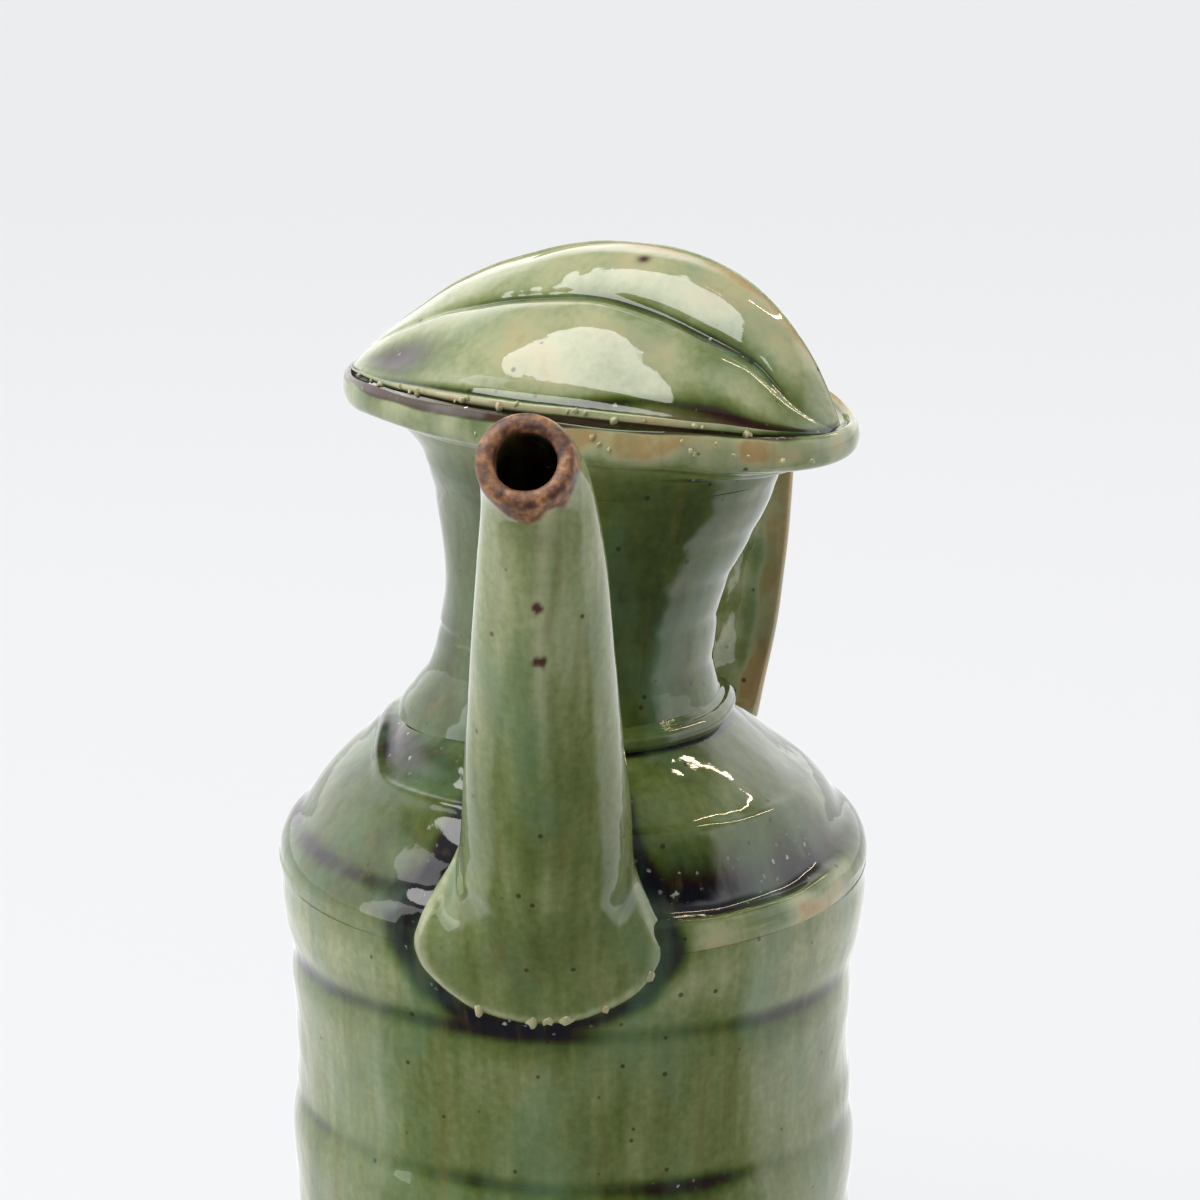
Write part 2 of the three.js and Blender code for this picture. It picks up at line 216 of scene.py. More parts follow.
def skin(name, grid, closed_rows=False):
    """A mesh object from grid[row, place, xyz] in mm. Each row closes on itself."""
    rows, places = grid.shape[:2]
    points = np.clip(grid.reshape(-1, 3), BOX_LOW, BOX_HIGH)  # no clay outside the CAD box
    index = np.arange(rows * places).reshape(rows, places)
    following = np.roll(index, -1, axis=0) if closed_rows else index[1:]
    here = index if closed_rows else index[:-1]
    quads = np.stack([here, np.roll(here, -1, 1), np.roll(following, -1, 1), following], -1)
    faces = quads.reshape(-1, 4).tolist()
    if not closed_rows:
        points = np.vstack([points, grid[0].mean(0), grid[-1].mean(0)])
        start, end = rows * places, rows * places + 1
        for j in range(places):
            k = (j + 1) % places
            faces.append((start, int(index[0, k]), int(index[0, j])))
            faces.append((end, int(index[-1, j]), int(index[-1, k])))
    mesh = bpy.data.meshes.new(name)
    mesh.from_pydata((points * MM).tolist(), [], faces)
    if signed_volume(mesh) < 0:
        mesh.flip_normals()
    shade(mesh)
    piece = bpy.data.objects.new(name, mesh)
    bpy.context.collection.objects.link(piece)
    print(f"{name}: {len(mesh.vertices)} points, {len(mesh.polygons)} faces")
    return piece


def shade(mesh):
    """Smooth shading that still breaks at the hidden end faces, so no dark line shows there."""
    mesh.shade_smooth()
    mesh.set_sharp_from_angle(angle=math.radians(60))


def signed_volume(mesh):
    """Positive when the faces of a closed mesh point out."""
    mesh.calc_loop_triangles()
    corners = np.empty(len(mesh.vertices) * 3)
    mesh.vertices.foreach_get("co", corners)
    triangles = np.empty(len(mesh.loop_triangles) * 3, dtype=int)
    mesh.loop_triangles.foreach_get("vertices", triangles)
    a, b, c = corners.reshape(-1, 3)[triangles.reshape(-1, 3)].transpose(1, 0, 2)
    return float((a * np.cross(b, c)).sum() / 6)


def turned(profile, places):
    """Rows of points round the pot's axis for a profile of [radius, height] points."""
    angle = np.linspace(0, 2 * math.pi, places, endpoint=False)
    r, z = profile[:, 0, None], profile[:, 1, None]
    return np.stack(np.broadcast_arrays(r * np.sin(angle), -r * np.cos(angle), z), axis=-1)


def hand_uneven(grid, amount, length, seed):
    """The grid pushed in and out from the pot's axis, as by a hand on soft clay."""
    push = amount * unit_wave(grid, length, seed)
    radius = np.linalg.norm(grid[..., :2], axis=-1, keepdims=True) + 1e-9
    out = np.concatenate([grid[..., :2] / radius, np.zeros_like(radius)], axis=-1)
    return grid + out * push[..., None]


print("helpers ready")

# %% [markdown]
# ## The body wall
#
# The wall is thrown: fingers press a groove that climbs the pot while the wheel turns, and the
# glaze later runs into it. The grooves follow a rule, so Geometry Nodes press them. The tree
# takes the smooth wall, finds each point's distance to the nearest groove line, and pushes the
# point in by a bell-shaped depth. Its inputs are the sizes a potter would name.

# %% A tree that presses throwing grooves
def add_node(tree, kind, settings=None, links=None):
    """A node with its settings and links. A link's key is the input's name or number."""
    node = tree.nodes.new(kind)
    for key, value in (settings or {}).items():
        if isinstance(key, int) or key in node.inputs:
            node.inputs[key].default_value = value
        else:
            setattr(node, key, value)
    for key, socket in (links or {}).items():
        tree.links.new(socket, node.inputs[key])
    return node


def maths(tree, operation, *values):
    """A Math node on sockets or plain numbers, as its output socket."""
    node = tree.nodes.new("ShaderNodeMath")
    node.operation = operation
    for i, value in enumerate(values):
        if isinstance(value, (int, float)):
            node.inputs[i].default_value = value
        else:
            tree.links.new(value, node.inputs[i])
    return node.outputs[0]


def open_tree(name, sizes, whole_numbers=()):
    """A Geometry Nodes tree with its inputs named, and the node that gives them."""
    tree = bpy.data.node_groups.new(name, "GeometryNodeTree")
    face = tree.interface
    face.new_socket("Geometry", in_out="INPUT", socket_type="NodeSocketGeometry")
    for label in sizes:
        face.new_socket(label, in_out="INPUT", socket_type="NodeSocketFloat")
    for label in whole_numbers:
        face.new_socket(label, in_out="INPUT", socket_type="NodeSocketInt")
    face.new_socket("Material", in_out="INPUT", socket_type="NodeSocketMaterial")
    face.new_socket("Geometry", in_out="OUTPUT", socket_type="NodeSocketGeometry")
    return tree, add_node(tree, "NodeGroupInput")


def close_tree(tree, given, shape):
    """Makes the shape real, gives it its material and ends the tree with it."""
    real = add_node(tree, "GeometryNodeRealizeInstances", links={0: shape})
    painted = add_node(tree, "GeometryNodeSetMaterial", links={
        "Geometry": real.outputs[0], "Material": given.outputs["Material"]})
    add_node(tree, "NodeGroupOutput", links={0: painted.outputs[0]})
    return tree


def groove_tree():
    """Points outside the inner radius, pushed in by a bell round the nearest groove line."""
    tree, given = open_tree("throwing_grooves", (
        "First groove height", "Pitch", "Depth", "Width", "Tilt", "Tilt angle", "Inner radius"))
    place = add_node(tree, "GeometryNodeInputPosition")
    parts = add_node(tree, "ShaderNodeSeparateXYZ", links={0: place.outputs[0]})
    x, y, z = parts.outputs
    angle = maths(tree, "ARCTAN2", x, maths(tree, "MULTIPLY", y, -1.0))
    turn = maths(tree, "COSINE", maths(tree, "SUBTRACT", angle, given.outputs["Tilt angle"]))
    line = maths(tree, "ADD", given.outputs["First groove height"],
                 maths(tree, "MULTIPLY", turn, given.outputs["Tilt"]))
    pitches = maths(tree, "DIVIDE", maths(tree, "SUBTRACT", z, line), given.outputs["Pitch"])
    off = maths(tree, "SUBTRACT", pitches, maths(tree, "ROUND", pitches))
    apart = maths(tree, "DIVIDE", maths(tree, "MULTIPLY", off, given.outputs["Pitch"]),
                  given.outputs["Width"])
    bell = maths(tree, "EXPONENT", maths(tree, "MULTIPLY", maths(tree, "MULTIPLY", apart, apart), -1.0))
    flat = add_node(tree, "ShaderNodeCombineXYZ", links={0: x, 1: y})
    radius = add_node(tree, "ShaderNodeVectorMath", {"operation": "LENGTH"}, {0: flat.outputs[0]})
    outside = maths(tree, "GREATER_THAN", radius.outputs["Value"], given.outputs["Inner radius"])
    push = maths(tree, "MULTIPLY", maths(tree, "MULTIPLY", bell, given.outputs["Depth"]), outside)
    share = maths(tree, "DIVIDE", maths(tree, "MULTIPLY", push, -1.0), radius.outputs["Value"])
    offset = add_node(tree, "ShaderNodeVectorMath", {"operation": "SCALE"},
                      {0: flat.outputs[0], "Scale": share})
    moved = add_node(tree, "GeometryNodeSetPosition", links={
        "Geometry": given.outputs["Geometry"], "Offset": offset.outputs[0]})
    return close_tree(tree, given, moved.outputs[0])


def through_tree(piece, tree, inputs):
    """Gives a piece the plain mesh that a Geometry Nodes tree makes of it."""
    modifier = piece.modifiers.new(tree.name, "NODES")
    modifier.node_group = tree
    sockets = {s.name: s.identifier for s in tree.interface.items_tree
               if s.item_type == "SOCKET" and s.in_out == "INPUT"}
    for label, value in inputs.items():
        modifier[sockets[label]] = value
    graph = bpy.context.evaluated_depsgraph_get()
    mesh = bpy.data.meshes.new_from_object(piece.evaluated_get(graph), depsgraph=graph)
    piece.modifiers.remove(modifier)
    piece.data = mesh
    shade(mesh)


grooves = groove_tree()
print("the groove tree has", len(grooves.nodes), "nodes")

# %% [markdown]
# The wall itself is a turned profile that swells between grooves. Its rim is the sharp edge where
# the shoulder starts, and the wall hangs back under it a little, as a cut edge does.

# %% Body wall
WALL_PLACES, WALL_ROWS = 400, 150
FOOT_TOP_Z = 9
GROOVE_Z, GROOVE_PITCH = 99, 25.6  # the highest throwing groove, and the next ones below it
GROOVE_TILT, GROOVE_TILT_ANGLE = 3.2, math.radians(-20)
wall_outside = smooth_line([
    [43.2, FOOT_TOP_Z], [44.9, 13.5], [45.9, 20], [46.2, 30], [46.1, 45], [46, 57], [46.5, 67],
    [46.5, 73.5], [46, 77], [45.4, 80.5], [45.4, 86], [45.8, 93], [46.5, 100], [47, 106],
    [47.3, 110], [47.3, 113], [47.4, WALL_TOP_Z],
], WALL_ROWS)
wall_inside = smooth_line([[42.6, WALL_TOP_Z], [41, 95], [41, 22], [38.2, FOOT_TOP_Z]], 24)
wall_grid = turned(np.vstack([wall_outside, wall_inside]), WALL_PLACES)
for amount, length, seed in ((-0.12, 16, 3), (-0.05, 5, 4)):
    wall_grid[:WALL_ROWS] = hand_uneven(wall_grid[:WALL_ROWS], amount, length, seed)
body_wall = skin("body_wall_clay", wall_grid, closed_rows=True)
through_tree(body_wall, grooves, {
    "First groove height": GROOVE_Z * MM, "Pitch": GROOVE_PITCH * MM, "Depth": 0.75 * MM,
    "Width": 3.2 * MM, "Tilt": GROOVE_TILT * MM, "Tilt angle": GROOVE_TILT_ANGLE, "Inner radius": 43 * MM,
})

# %% [markdown]
# ## The shoulder
#
# A low cone runs down from the neck and dips into a shallow gutter just inside the rim, where the
# glaze collects until it looks black. On the +X side of the spout a thumb has dented the clay, and
# the gutter there is deep and wide. The profile is turned, and the gutter is pressed into it by
# how far a point lies from the rim and where it lies round the pot.

# %% Shoulder
SHOULDER_PLACES, SHOULDER_ROWS = 440, 110
RIM_ROWS = 6  # rows at the rim that no hand has moved
shoulder_outside = smooth_line([
    [47.4, WALL_TOP_Z], [47.5, 116], [47.2, 118], [46.3, 119.8], [44.6, 121.9], [42.4, 124.6],
    [38.2, 129.6], [33, 134.2], [28.4, 137.4], [25, 139.4],
], SHOULDER_ROWS)
shoulder_inside = smooth_line([[22, 136.6], [33, 130], [38.6, 122.6], [42.6, WALL_TOP_Z]], 20)


def round_the_pot(points):
    """Angle round the axis: 0 at the spout, positive to the pot's left, which is +X."""
    return np.arctan2(points[..., 0], -points[..., 1])


def side_bell(angle, middle, width):
    """A bell round the pot, whose middle and width are in degrees."""
    return bump(angle, math.radians(middle), math.radians(width))


def thumb_dent(angle):
    """1 where a thumb has dented the shoulder, on the +X side of the spout."""
    return side_bell(angle, 44, 36)


def from_axis(points):
    """Distance from the pot's axis."""
    return np.linalg.norm(points[..., :2], axis=-1)


def slumped(points, amount):
    """The clay at the neck's foot, which has slid outwards on one side by a share of its radius."""
    share = side_bell(round_the_pot(points), -80, 44)
    share = share * smoothstep(points[..., 2], 133, 138) * (1 - smoothstep(points[..., 2], 138.5, 150))
    grown = points.copy()
    grown[..., :2] *= (1 + amount * share)[..., None]
    return grown


def smear_line(angle):
    """How far from the axis the smeared clay below the neck ends, at an angle round the pot."""
    return 28.6 + 6.6 * smoothstep(angle, math.radians(-84), math.radians(-48))


def press_shoulder(points):
    """Millimetres that hands moved the shoulder's face up, as a height."""
    angle, reach, z = round_the_pot(points), from_axis(points), points[..., 2]
    dent = thumb_dent(angle)
    inner_step = 0.9 * dent * bump(reach, 38.6, 1.4)
    gutter = (0.5 + 3.1 * dent) * bump(reach, 43.4, 1.5 + 1.2 * dent)
    lip = 0.3 * dent * bump(reach, 46.6, 0.7)
    smear = (1 - smoothstep(angle, math.radians(-18), math.radians(-8))) * smoothstep(
        angle, math.radians(-115), math.radians(-85))
    beyond = reach - smear_line(angle)
    ridge = smear * (0.55 * bump(beyond, 0, 0.9) - 0.6 * bump(beyond, -3.2, 2.0))
    flat_side = 2.0 * side_bell(angle, 96, 44) * bump(reach, 33.5, 7)
    melted = 0.2 * side_bell(angle, 48, 38) * unit_wave(points, 6.5, seed=14)
    return (inner_step - gutter + lip + ridge - flat_side + melted) * smoothstep(z, 116, 119.5)


shoulder_grid = turned(np.vstack([shoulder_outside, shoulder_inside]), SHOULDER_PLACES)
outer_face = shoulder_grid[:SHOULDER_ROWS]
outer_face[..., 2] += press_shoulder(outer_face)
pressed = slice(RIM_ROWS, SHOULDER_ROWS)
shoulder_grid[pressed] = hand_uneven(shoulder_grid[pressed], -0.12, 12, seed=5)
shoulder = skin("shoulder_clay", slumped(shoulder_grid, 0.05), closed_rows=True)

# %% [markdown]
# ## The collar and the neck
#
# The neck was thrown apart and set on a ring of soft clay, which squeezed out into a crisp
# stepped collar. The neck is waisted, goes oval towards the mouth, and leans. Both are turned and
# then pulled out of round by the same function, so they still meet. Fine grooves from a rib run
# round the neck, and the groove tree presses those too, at a smaller pitch.

# %% Collar and neck
NECK_PLACES, NECK_ROWS = 320, 100
NECK_THICKNESS = 3.6
collar = smooth_line([
    [25.4, 139], [26.1, 139.8], [26, 140.8], [25.3, 141.5], [24.4, 141.8], [23.6, 142.2], [22.6, 142.4],
    [NECK_RADIUS - 1.8, 141], [20.4, 138], [24, 136.6], [25.2, 138.6],
], 80)
collar_grid = hand_uneven(turned(collar, NECK_PLACES), 0.12, 9, seed=6)
# on the spout's -X side the neck's slumped clay covers the ring, which is smaller and lower there
hidden = 1 - smoothstep(round_the_pot(collar_grid), math.radians(-40), math.radians(0))
hidden *= smoothstep(round_the_pot(collar_grid), math.radians(-150), math.radians(-120))
collar_grid[..., :2] *= (1 - 0.07 * hidden)[..., None]
collar_grid[..., 2] -= 0.8 * hidden
neck_collar = skin("neck_collar_clay", pulled(slumped(collar_grid, 0.04)), closed_rows=True)

neck_outside = smooth_line([
    [NECK_RADIUS + 3, 138.8], [NECK_RADIUS + 2.3, 140.8], [NECK_RADIUS + 1.2, 143.5],
    [NECK_RADIUS + 0.2, 148.5], [NECK_RADIUS, 158.5], [NECK_RADIUS + 0.3, 165.5], [NECK_RADIUS + 1.1, 173],
    [NECK_TOP_RADIUS, NECK_TOP_Z],
], NECK_ROWS)
neck_inside = neck_outside[:10:-4] - [NECK_THICKNESS, 0]  # back down, with fewer rows
neck_grid = turned(np.vstack([neck_outside, neck_inside]), NECK_PLACES)
neck_grid[:NECK_ROWS] = hand_uneven(neck_grid[:NECK_ROWS], 0.2, 11, seed=7)
neck = skin("neck_clay", pulled(slumped(neck_grid, 0.13)), closed_rows=True)
through_tree(neck, grooves, {
    "First groove height": 176 * MM, "Pitch": 7.3 * MM, "Depth": 0.2 * MM, "Width": 1.6 * MM,
    "Tilt": 1.2 * MM, "Tilt angle": math.radians(60), "Inner radius": 21 * MM,
})

# %% [markdown]
# ## The mouth
#
# The neck opens into a wide oval whose lip is rolled over to a thick round bead. Every slice
# through it is the same smooth line, stretched by how far the lip stands off in that direction.
# The slice goes out along the underside, round the bead, and back down inside to the neck.

# %% Flared mouth with its rolled lip
LIP_SLICES = 420


def lip_top(share):
    """Height of the lip, where share runs from -1 at the left tip to 1 at the right one."""
    sag = 1.2 * smoothstep(share, 0.55, 1)
    return MOUTH_Z - 0.4 * share**2 - MOUTH_TILT * share * MOUTH_HALF_WIDTH - sag


def mouth_slice(angle):
    """A slice in one direction: out under the lip, round its bead and back in to the neck."""
    c, s = math.cos(angle), math.sin(angle)
    top = float(lip_top(c))
    depth = MOUTH_FRONT if s < 0 else MOUTH_BACK
    under = smooth_line([
        [0, NECK_TOP_Z], [0.1, NECK_TOP_Z + 3], [0.3, top - 7.3], [0.42, top - 6.3], [0.62, top - 5.8],
        [0.86, top - LIP_THICKNESS], [0.965, top - 4.3], [1, top - 2.6], [0.975, top - 0.9],
        [0.92, top - 0.1], [0.87, top - 0.3], [0.8, top - 1],
    ], 74)
    inside = smooth_line([
        [0.8, top - 1.1], [0.55, top - 2.6], [0.3, top - 5.6], [0.12, NECK_TOP_Z + 5], [0, NECK_TOP_Z],
    ], 22)
    rows = []
    for line, start in ((under, NECK_TOP_RADIUS), (inside, NECK_TOP_RADIUS - NECK_THICKNESS)):
        neck_u, neck_v = start * (1 + NECK_OVAL) * c - MOUTH_SHIFT, start * s
        share, z = line[:, 0], line[:, 1]
        u = neck_u + (MOUTH_HALF_WIDTH * c - neck_u) * share
        v = neck_v + (depth * s - neck_v) * share
        rows.append(mouth_place(u, v, z))
    return np.vstack(rows)


mouth_grid = np.array([mouth_slice(a) for a in np.linspace(0, 2 * math.pi, LIP_SLICES, endpoint=False)])
mouth_grid[..., 2] += 0.22 * unit_wave(mouth_grid, 10, seed=8) * smoothstep(mouth_grid[..., 2], 181, 186)
mouth_flange = skin("mouth_clay", mouth_grid, closed_rows=True)

# %% [markdown]
# ## The hood
#
# A flap of clay is folded up over the front half of the mouth and pinched to the lip at both
# tips. It has a rolled lower edge, a long swelling above that, a crease that rises and falls like
# an eyebrow, and a smooth dome up to the free crest. All of that is one height map over the
# flap: `along` runs from tip to tip and `up` from the lip to the crest, and each fold is a bell
# added to or taken from the outer face.

# %% Hood
HOOD_ALONG, HOOD_UP = 340, 130
HOOD_REACH = 0.965 * MOUTH_HALF_WIDTH
HOOD_SKEW = 0.17
HOOD_THICKNESS = 3.8


def low_crease(along):
    """Where the long crease above the rolled edge lies, as a share of the way up."""
    return 0.13 + 0.05 * np.abs(along) + 0.11 * np.clip(along, 0, 1) ** 2


def high_crease(along):
    """Where the crease below the dome lies. It falls towards both tips, and more to the right."""
    to_left, to_right, far_right = (np.clip(a, 0, 1) for a in (-along, along, along - 0.5))
    return 0.66 - 0.2 * to_right - 0.12 * far_right - 0.05 * to_left


# The outer face as shares of the way back and up: rolled edge, crease, swelling, crease, dome.
# PLAIN is the same face without its steps, for the left end, where the folds run out.
PROFILE_STEPS = 400
TERRACES = smooth_line([
    [0, 0], [-0.017, 0.058], [0, 0.115], [0.048, 0.147], [0.074, 0.225], [0.15, 0.365], [0.25, 0.495],
    [0.35, 0.6], [0.45, 0.665], [0.56, 0.685], [0.61, 0.712], [0.65, 0.765], [0.71, 0.845],
    [0.77, 0.91], [0.85, 0.965], [1, 1],
], PROFILE_STEPS)
PLAIN = smooth_line([
    [0, 0], [-0.017, 0.058], [0, 0.115], [0.048, 0.147], [0.1, 0.25], [0.22, 0.42], [0.38, 0.59],
    [0.56, 0.75], [0.78, 0.91], [1, 1],
], PROFILE_STEPS)


def share_of_length(fold):
    """How far along the terraced line a fold lies, from 0 to 1."""
    return np.linalg.norm(TERRACES - fold, axis=1).argmin() / (PROFILE_STEPS - 1)


LOW_AT, HIGH_AT = share_of_length([0, 0.115]), share_of_length([0.585, 0.695])


def hood_profile(along, up):
    """Shares of the way back and up the hood, where the creases wander with along."""
    along, up = np.broadcast_arrays(along, up)
    low, high = low_crease(along), high_crease(along)
    lower, middle = up / low * LOW_AT, LOW_AT + (up - low) / (high - low) * (HIGH_AT - LOW_AT)
    upper = HIGH_AT + (up - high) / (1 - high) * (1 - HIGH_AT)
    at = np.where(up < low, lower, np.where(up < high, middle, upper)) * (PROFILE_STEPS - 1)
    above_low = LOW_AT + (up - low) / (1 - low) * (1 - LOW_AT)
    at_plain = np.where(up < low, lower, above_low) * (PROFILE_STEPS - 1)
    stepped_share = smoothstep(along, -0.8, -0.1) * (1 - 0.5 * smoothstep(along, 0.7, 0.95))
    shares = []
    for i in range(2):
        plain = np.interp(at_plain, np.arange(PROFILE_STEPS), PLAIN[:, i])
        terraced = np.interp(at, np.arange(PROFILE_STEPS), TERRACES[:, i])
        shares.append(plain + (terraced - plain) * stepped_share)
    above = np.clip((shares[1] - 0.15) / 0.85, 0, 1)  # the high crease drops away to the right
    shares[1] = shares[1] - 0.6 * smoothstep(along, 0.15, 0.8) * above * (1 - above) * 0.85
    return shares


def hood_hollow(along, up):
    """Millimetres that the outer face is pressed in: a thumb's hollow and two creases."""
    arch = 1 - along**2
    thumb = 1.3 * bump(along, -0.62, 0.2) * bump(up, 0.34, 0.15)
    low = 0.75 * bump(up, low_crease(along), 0.02) * smoothstep(arch, 0, 0.25)
    high = (0.35 + 0.5 * smoothstep(along, 0, 0.4)) * bump(up, high_crease(along), 0.035)
    return thumb + low + high * smoothstep(arch, 0.1, 0.5)


def hood_point(along, up, sink):
    """Points of the hood's outer face, or of its inner face when sink is the clay's thickness."""
    arch = 1 - along**2
    foot = lip_top(along) - 0.1
    highest = 1 - np.abs(along - HOOD_SKEW * arch) ** 2.15
    crest = foot - 0.45 + (HOOD_TOP_Z - MOUTH_Z + 0.5) * highest**0.74
    front, back = -0.935 * MOUTH_FRONT * np.sqrt(arch), 4.4 * arch
    if sink:
        going_back, going_up, out = up**1.15, up**0.92, -sink
    else:
        (going_back, going_up), out = hood_profile(along, up), -hood_hollow(along, up)
    ease = np.minimum(1, up * 5)
    v = front + (back - front) * going_back - 0.6 * out
    z = foot + (crest - foot) * going_up + 0.74 * out * ease
    return mouth_place(along * HOOD_REACH, v, z)


def hood_slice(along):
    """Up the outer face, over the rounded crest and down the inner face."""
    up = np.linspace(0, 1, HOOD_UP)
    arch = 1 - along**2
    thick = HOOD_THICKNESS * min(1, 0.25 + 1.4 * arch)
    outer = hood_point(along, up, 0)
    inner = hood_point(along, up[::-2], thick)
    inner[:, 2] += 1.6 * np.sin(math.pi * up[::-2]) * arch
    last, first = outer[-1], inner[0]
    middle, reach = (last + first) / 2, (last - first) / 2
    lift = np.array([0, 0, np.linalg.norm(reach) * 0.6])
    turn = np.linspace(0, math.pi, 12)[1:-1, None]
    crest = middle + reach * np.cos(turn) + lift * np.sin(turn)
    return np.vstack([outer, crest, inner])


hood_along = 0.99 * np.sin(np.linspace(-0.5, 0.5, HOOD_ALONG) * math.pi)
hood_grid = np.array([hood_slice(a) for a in hood_along])
hood_grid[..., 2] += 0.12 * unit_wave(hood_grid, 5, seed=9) + 0.2 * unit_wave(hood_grid, 13, seed=10)
over_top = np.maximum(hood_grid[..., 2] - (HOOD_TOP_Z - 0.4), 0)  # the crest eases in under its limit
hood_grid[..., 2] -= over_top - 0.5 * (1 - np.exp(-2 * over_top))
hood = skin("hood_clay", hood_grid)

# %% [markdown]
# ## The spout
#
# A slab of clay was rolled round a stick into a tapered tube, so its section is not quite round:
# it has a soft ridge down the front and flats beside it. The tube is a row of rings, each square
# to a smooth centre line. The rows run up the outside, over the cut rim, and back down the bore.

# %% Spout
SPOUT_ROOT_RADIUS, SPOUT_TIP_RADIUS = 15.3, 7.3
TIP_NARROWING = 0.55
BORE_SHARE = 4.1 / 6.65  # of the outer radius
SPOUT_PLACES, SPOUT_ROWS, CUT_RIM_ROWS, BORE_ROWS = 160, 240, 18, 60
RIM_FACING = np.array([0.06, -0.85, 0.52])  # the way the cut rim looks
spout_line = smooth_line([
    [-0.6, -14, 105], [-0.5, -28, 111], [-0.2, -38, 123], [0.3, -43.6, 138], [0.5, -48.6, 158],
    [0.9, -52.6, 175], [0.9, -55.4, 184.2], [0.4, -58.8, 190.4], [-0.6, -62.9, 194.3],
], 300)


def spout_radius(share):
    """The tube's outer radius at a share of its length."""
    taper = SPOUT_ROOT_RADIUS + (SPOUT_TIP_RADIUS - SPOUT_ROOT_RADIUS) * share**1.2
    return taper - TIP_NARROWING * smoothstep(share, 0.8, 1)


def spout_ring(share, scale, shift=0.0):
    """One ring at a share of the centre line's length, scaled from the outer radius."""
    at = min(share, 1) * (len(spout_line) - 1)
    i = min(int(at), len(spout_line) - 2)
    centre = spout_line[i] + (spout_line[i + 1] - spout_line[i]) * (at - i)
    ahead = spout_line[min(i + 4, len(spout_line) - 1)] - spout_line[max(i - 4, 0)]
    ahead /= np.linalg.norm(ahead)
    ahead += (RIM_FACING - ahead) * smoothstep(share, 0.85, 0.97)
    ahead /= np.linalg.norm(ahead)
    across = np.array([1, 0, 0]) - ahead * ahead[0]
    across /= np.linalg.norm(across)
    over = np.cross(ahead, across)
    turn = np.linspace(0, 2 * math.pi, SPOUT_PLACES, endpoint=False)
    from_front = np.angle(np.exp(1j * (turn - 1.5 * math.pi)))
    ridge = 1 + (0.022 * bump(from_front, 0.05, 0.2) - 0.02 * bump(from_front, 0.62, 0.28)
                 - 0.015 * bump(from_front, -0.55, 0.25)) * (scale > 0.9)
    radius = spout_radius(share) * scale * ridge
    flat = across * np.cos(turn)[:, None] + over * np.sin(turn)[:, None]
    return centre + ahead * shift + flat * np.array(radius)[..., None]


def spout_rows():
    """Rings up the outside, over the cut rim, and back down the bore."""
    rows = [spout_ring(share, 1) for share in np.linspace(0.12, 0.985, SPOUT_ROWS)]
    wide, middle = (1 - BORE_SHARE) / 2, (1 + BORE_SHARE) / 2
    for turn in np.linspace(0, math.pi, CUT_RIM_ROWS):  # a flattened half circle over the clay
        out = math.copysign(abs(math.cos(turn)) ** 0.6, math.cos(turn))
        rows.append(spout_ring(0.985, middle + wide * out, shift=1.1 * math.sin(turn) ** 0.7))
    rows += [spout_ring(share, BORE_SHARE) for share in np.linspace(0.98, 0.12, BORE_ROWS)]
    return np.array(rows)


spout_grid = spout_rows()
spout_grid += 0.1 * unit_wave(spout_grid, 9, seed=11)[..., None] * [0.6, 0.8, 0]
spout = skin("spout_clay", spout_grid, closed_rows=True)

# %% [markdown]
# ## The skirt round the spout's root
#
# Soft clay was smeared from the tube down onto the wall, and its edge stands up like a thick
# fingernail. Over the wall, the skirt is a height map in the angle round the pot and the height:
# the larger of the wall and the tube, taken softly so that the corner fills, and cut off along a
# U. Its top stays open, because there the tube covers it. The two are joined further down.

# %% Skirt of clay
SKIRT_CLAY = 0.75  # thickness of its edge
SKIRT_HALF_WIDTH, SKIRT_TOP_HALF_WIDTH = 18.9, 15.2
SKIRT_DROP, SKIRT_RISE = 12.2, 18.5  # below and above its widest line
SKIRT_Z = 116.8
SKIRT_ASIDE = -1.1  # its middle lies a little to one side
SHOULDER_RADIUS = 46.6  # turns millimetres round the pot into angles
SKIRT_CORNER = 6.0  # how far the clay fills the corner beside the tube
outside_line = np.vstack([wall_outside, shoulder_outside[1:]])
above_wall = outside_line[outside_line[:, 1] > 60]
above_wall = above_wall[np.argsort(above_wall[:, 1])]


def pot_radius(z):
    """Outer radius of the wall and shoulder at a height."""
    return np.interp(z, above_wall[:, 1], above_wall[:, 0])


def tube_reach(angle, z):
    """How far from the axis the tube's far side lies. It falls away softly beside the tube."""
    front_half = spout_line[spout_line[:, 2] < 160]
    centre_y = np.interp(z, front_half[:, 2], front_half[:, 1])
    centre_x = np.interp(z, front_half[:, 2], front_half[:, 0])
    shares = np.linspace(0, len(front_half) / len(spout_line), len(front_half))
    share = np.interp(z, front_half[:, 2], shares)
    radius = spout_radius(share) * (1 + 0.14 * (1 - smoothstep(z, 100, 124)))
    away = -centre_y * np.cos(angle) + centre_x * np.sin(angle)
    aside = -centre_y * np.sin(angle) - centre_x * np.cos(angle)
    inner = radius**2 - aside**2
    return away + np.sign(inner) * np.sqrt(np.abs(inner))


def soft_larger(a, b, corner):
    """The larger of two heights, with the corner between them filled."""
    gap = np.clip(0.5 + 0.5 * (b - a) / corner, 0, 1)
    return a + (b - a) * gap + corner * gap * (1 - gap)


def skirt_half_width(height):
    """Half the skirt's width in mm round the pot. It narrows towards its open top."""
    return SKIRT_HALF_WIDTH + (SKIRT_TOP_HALF_WIDTH - SKIRT_HALF_WIDTH) * smoothstep(height, 112, 131)


def skirt_outline(angle, height):
    """1 on the skirt's edge, less inside it."""
    aside = angle * SHOULDER_RADIUS - SKIRT_ASIDE
    below = np.minimum(height - SKIRT_Z, 0) / SKIRT_DROP
    return np.hypot(aside / skirt_half_width(height), below)


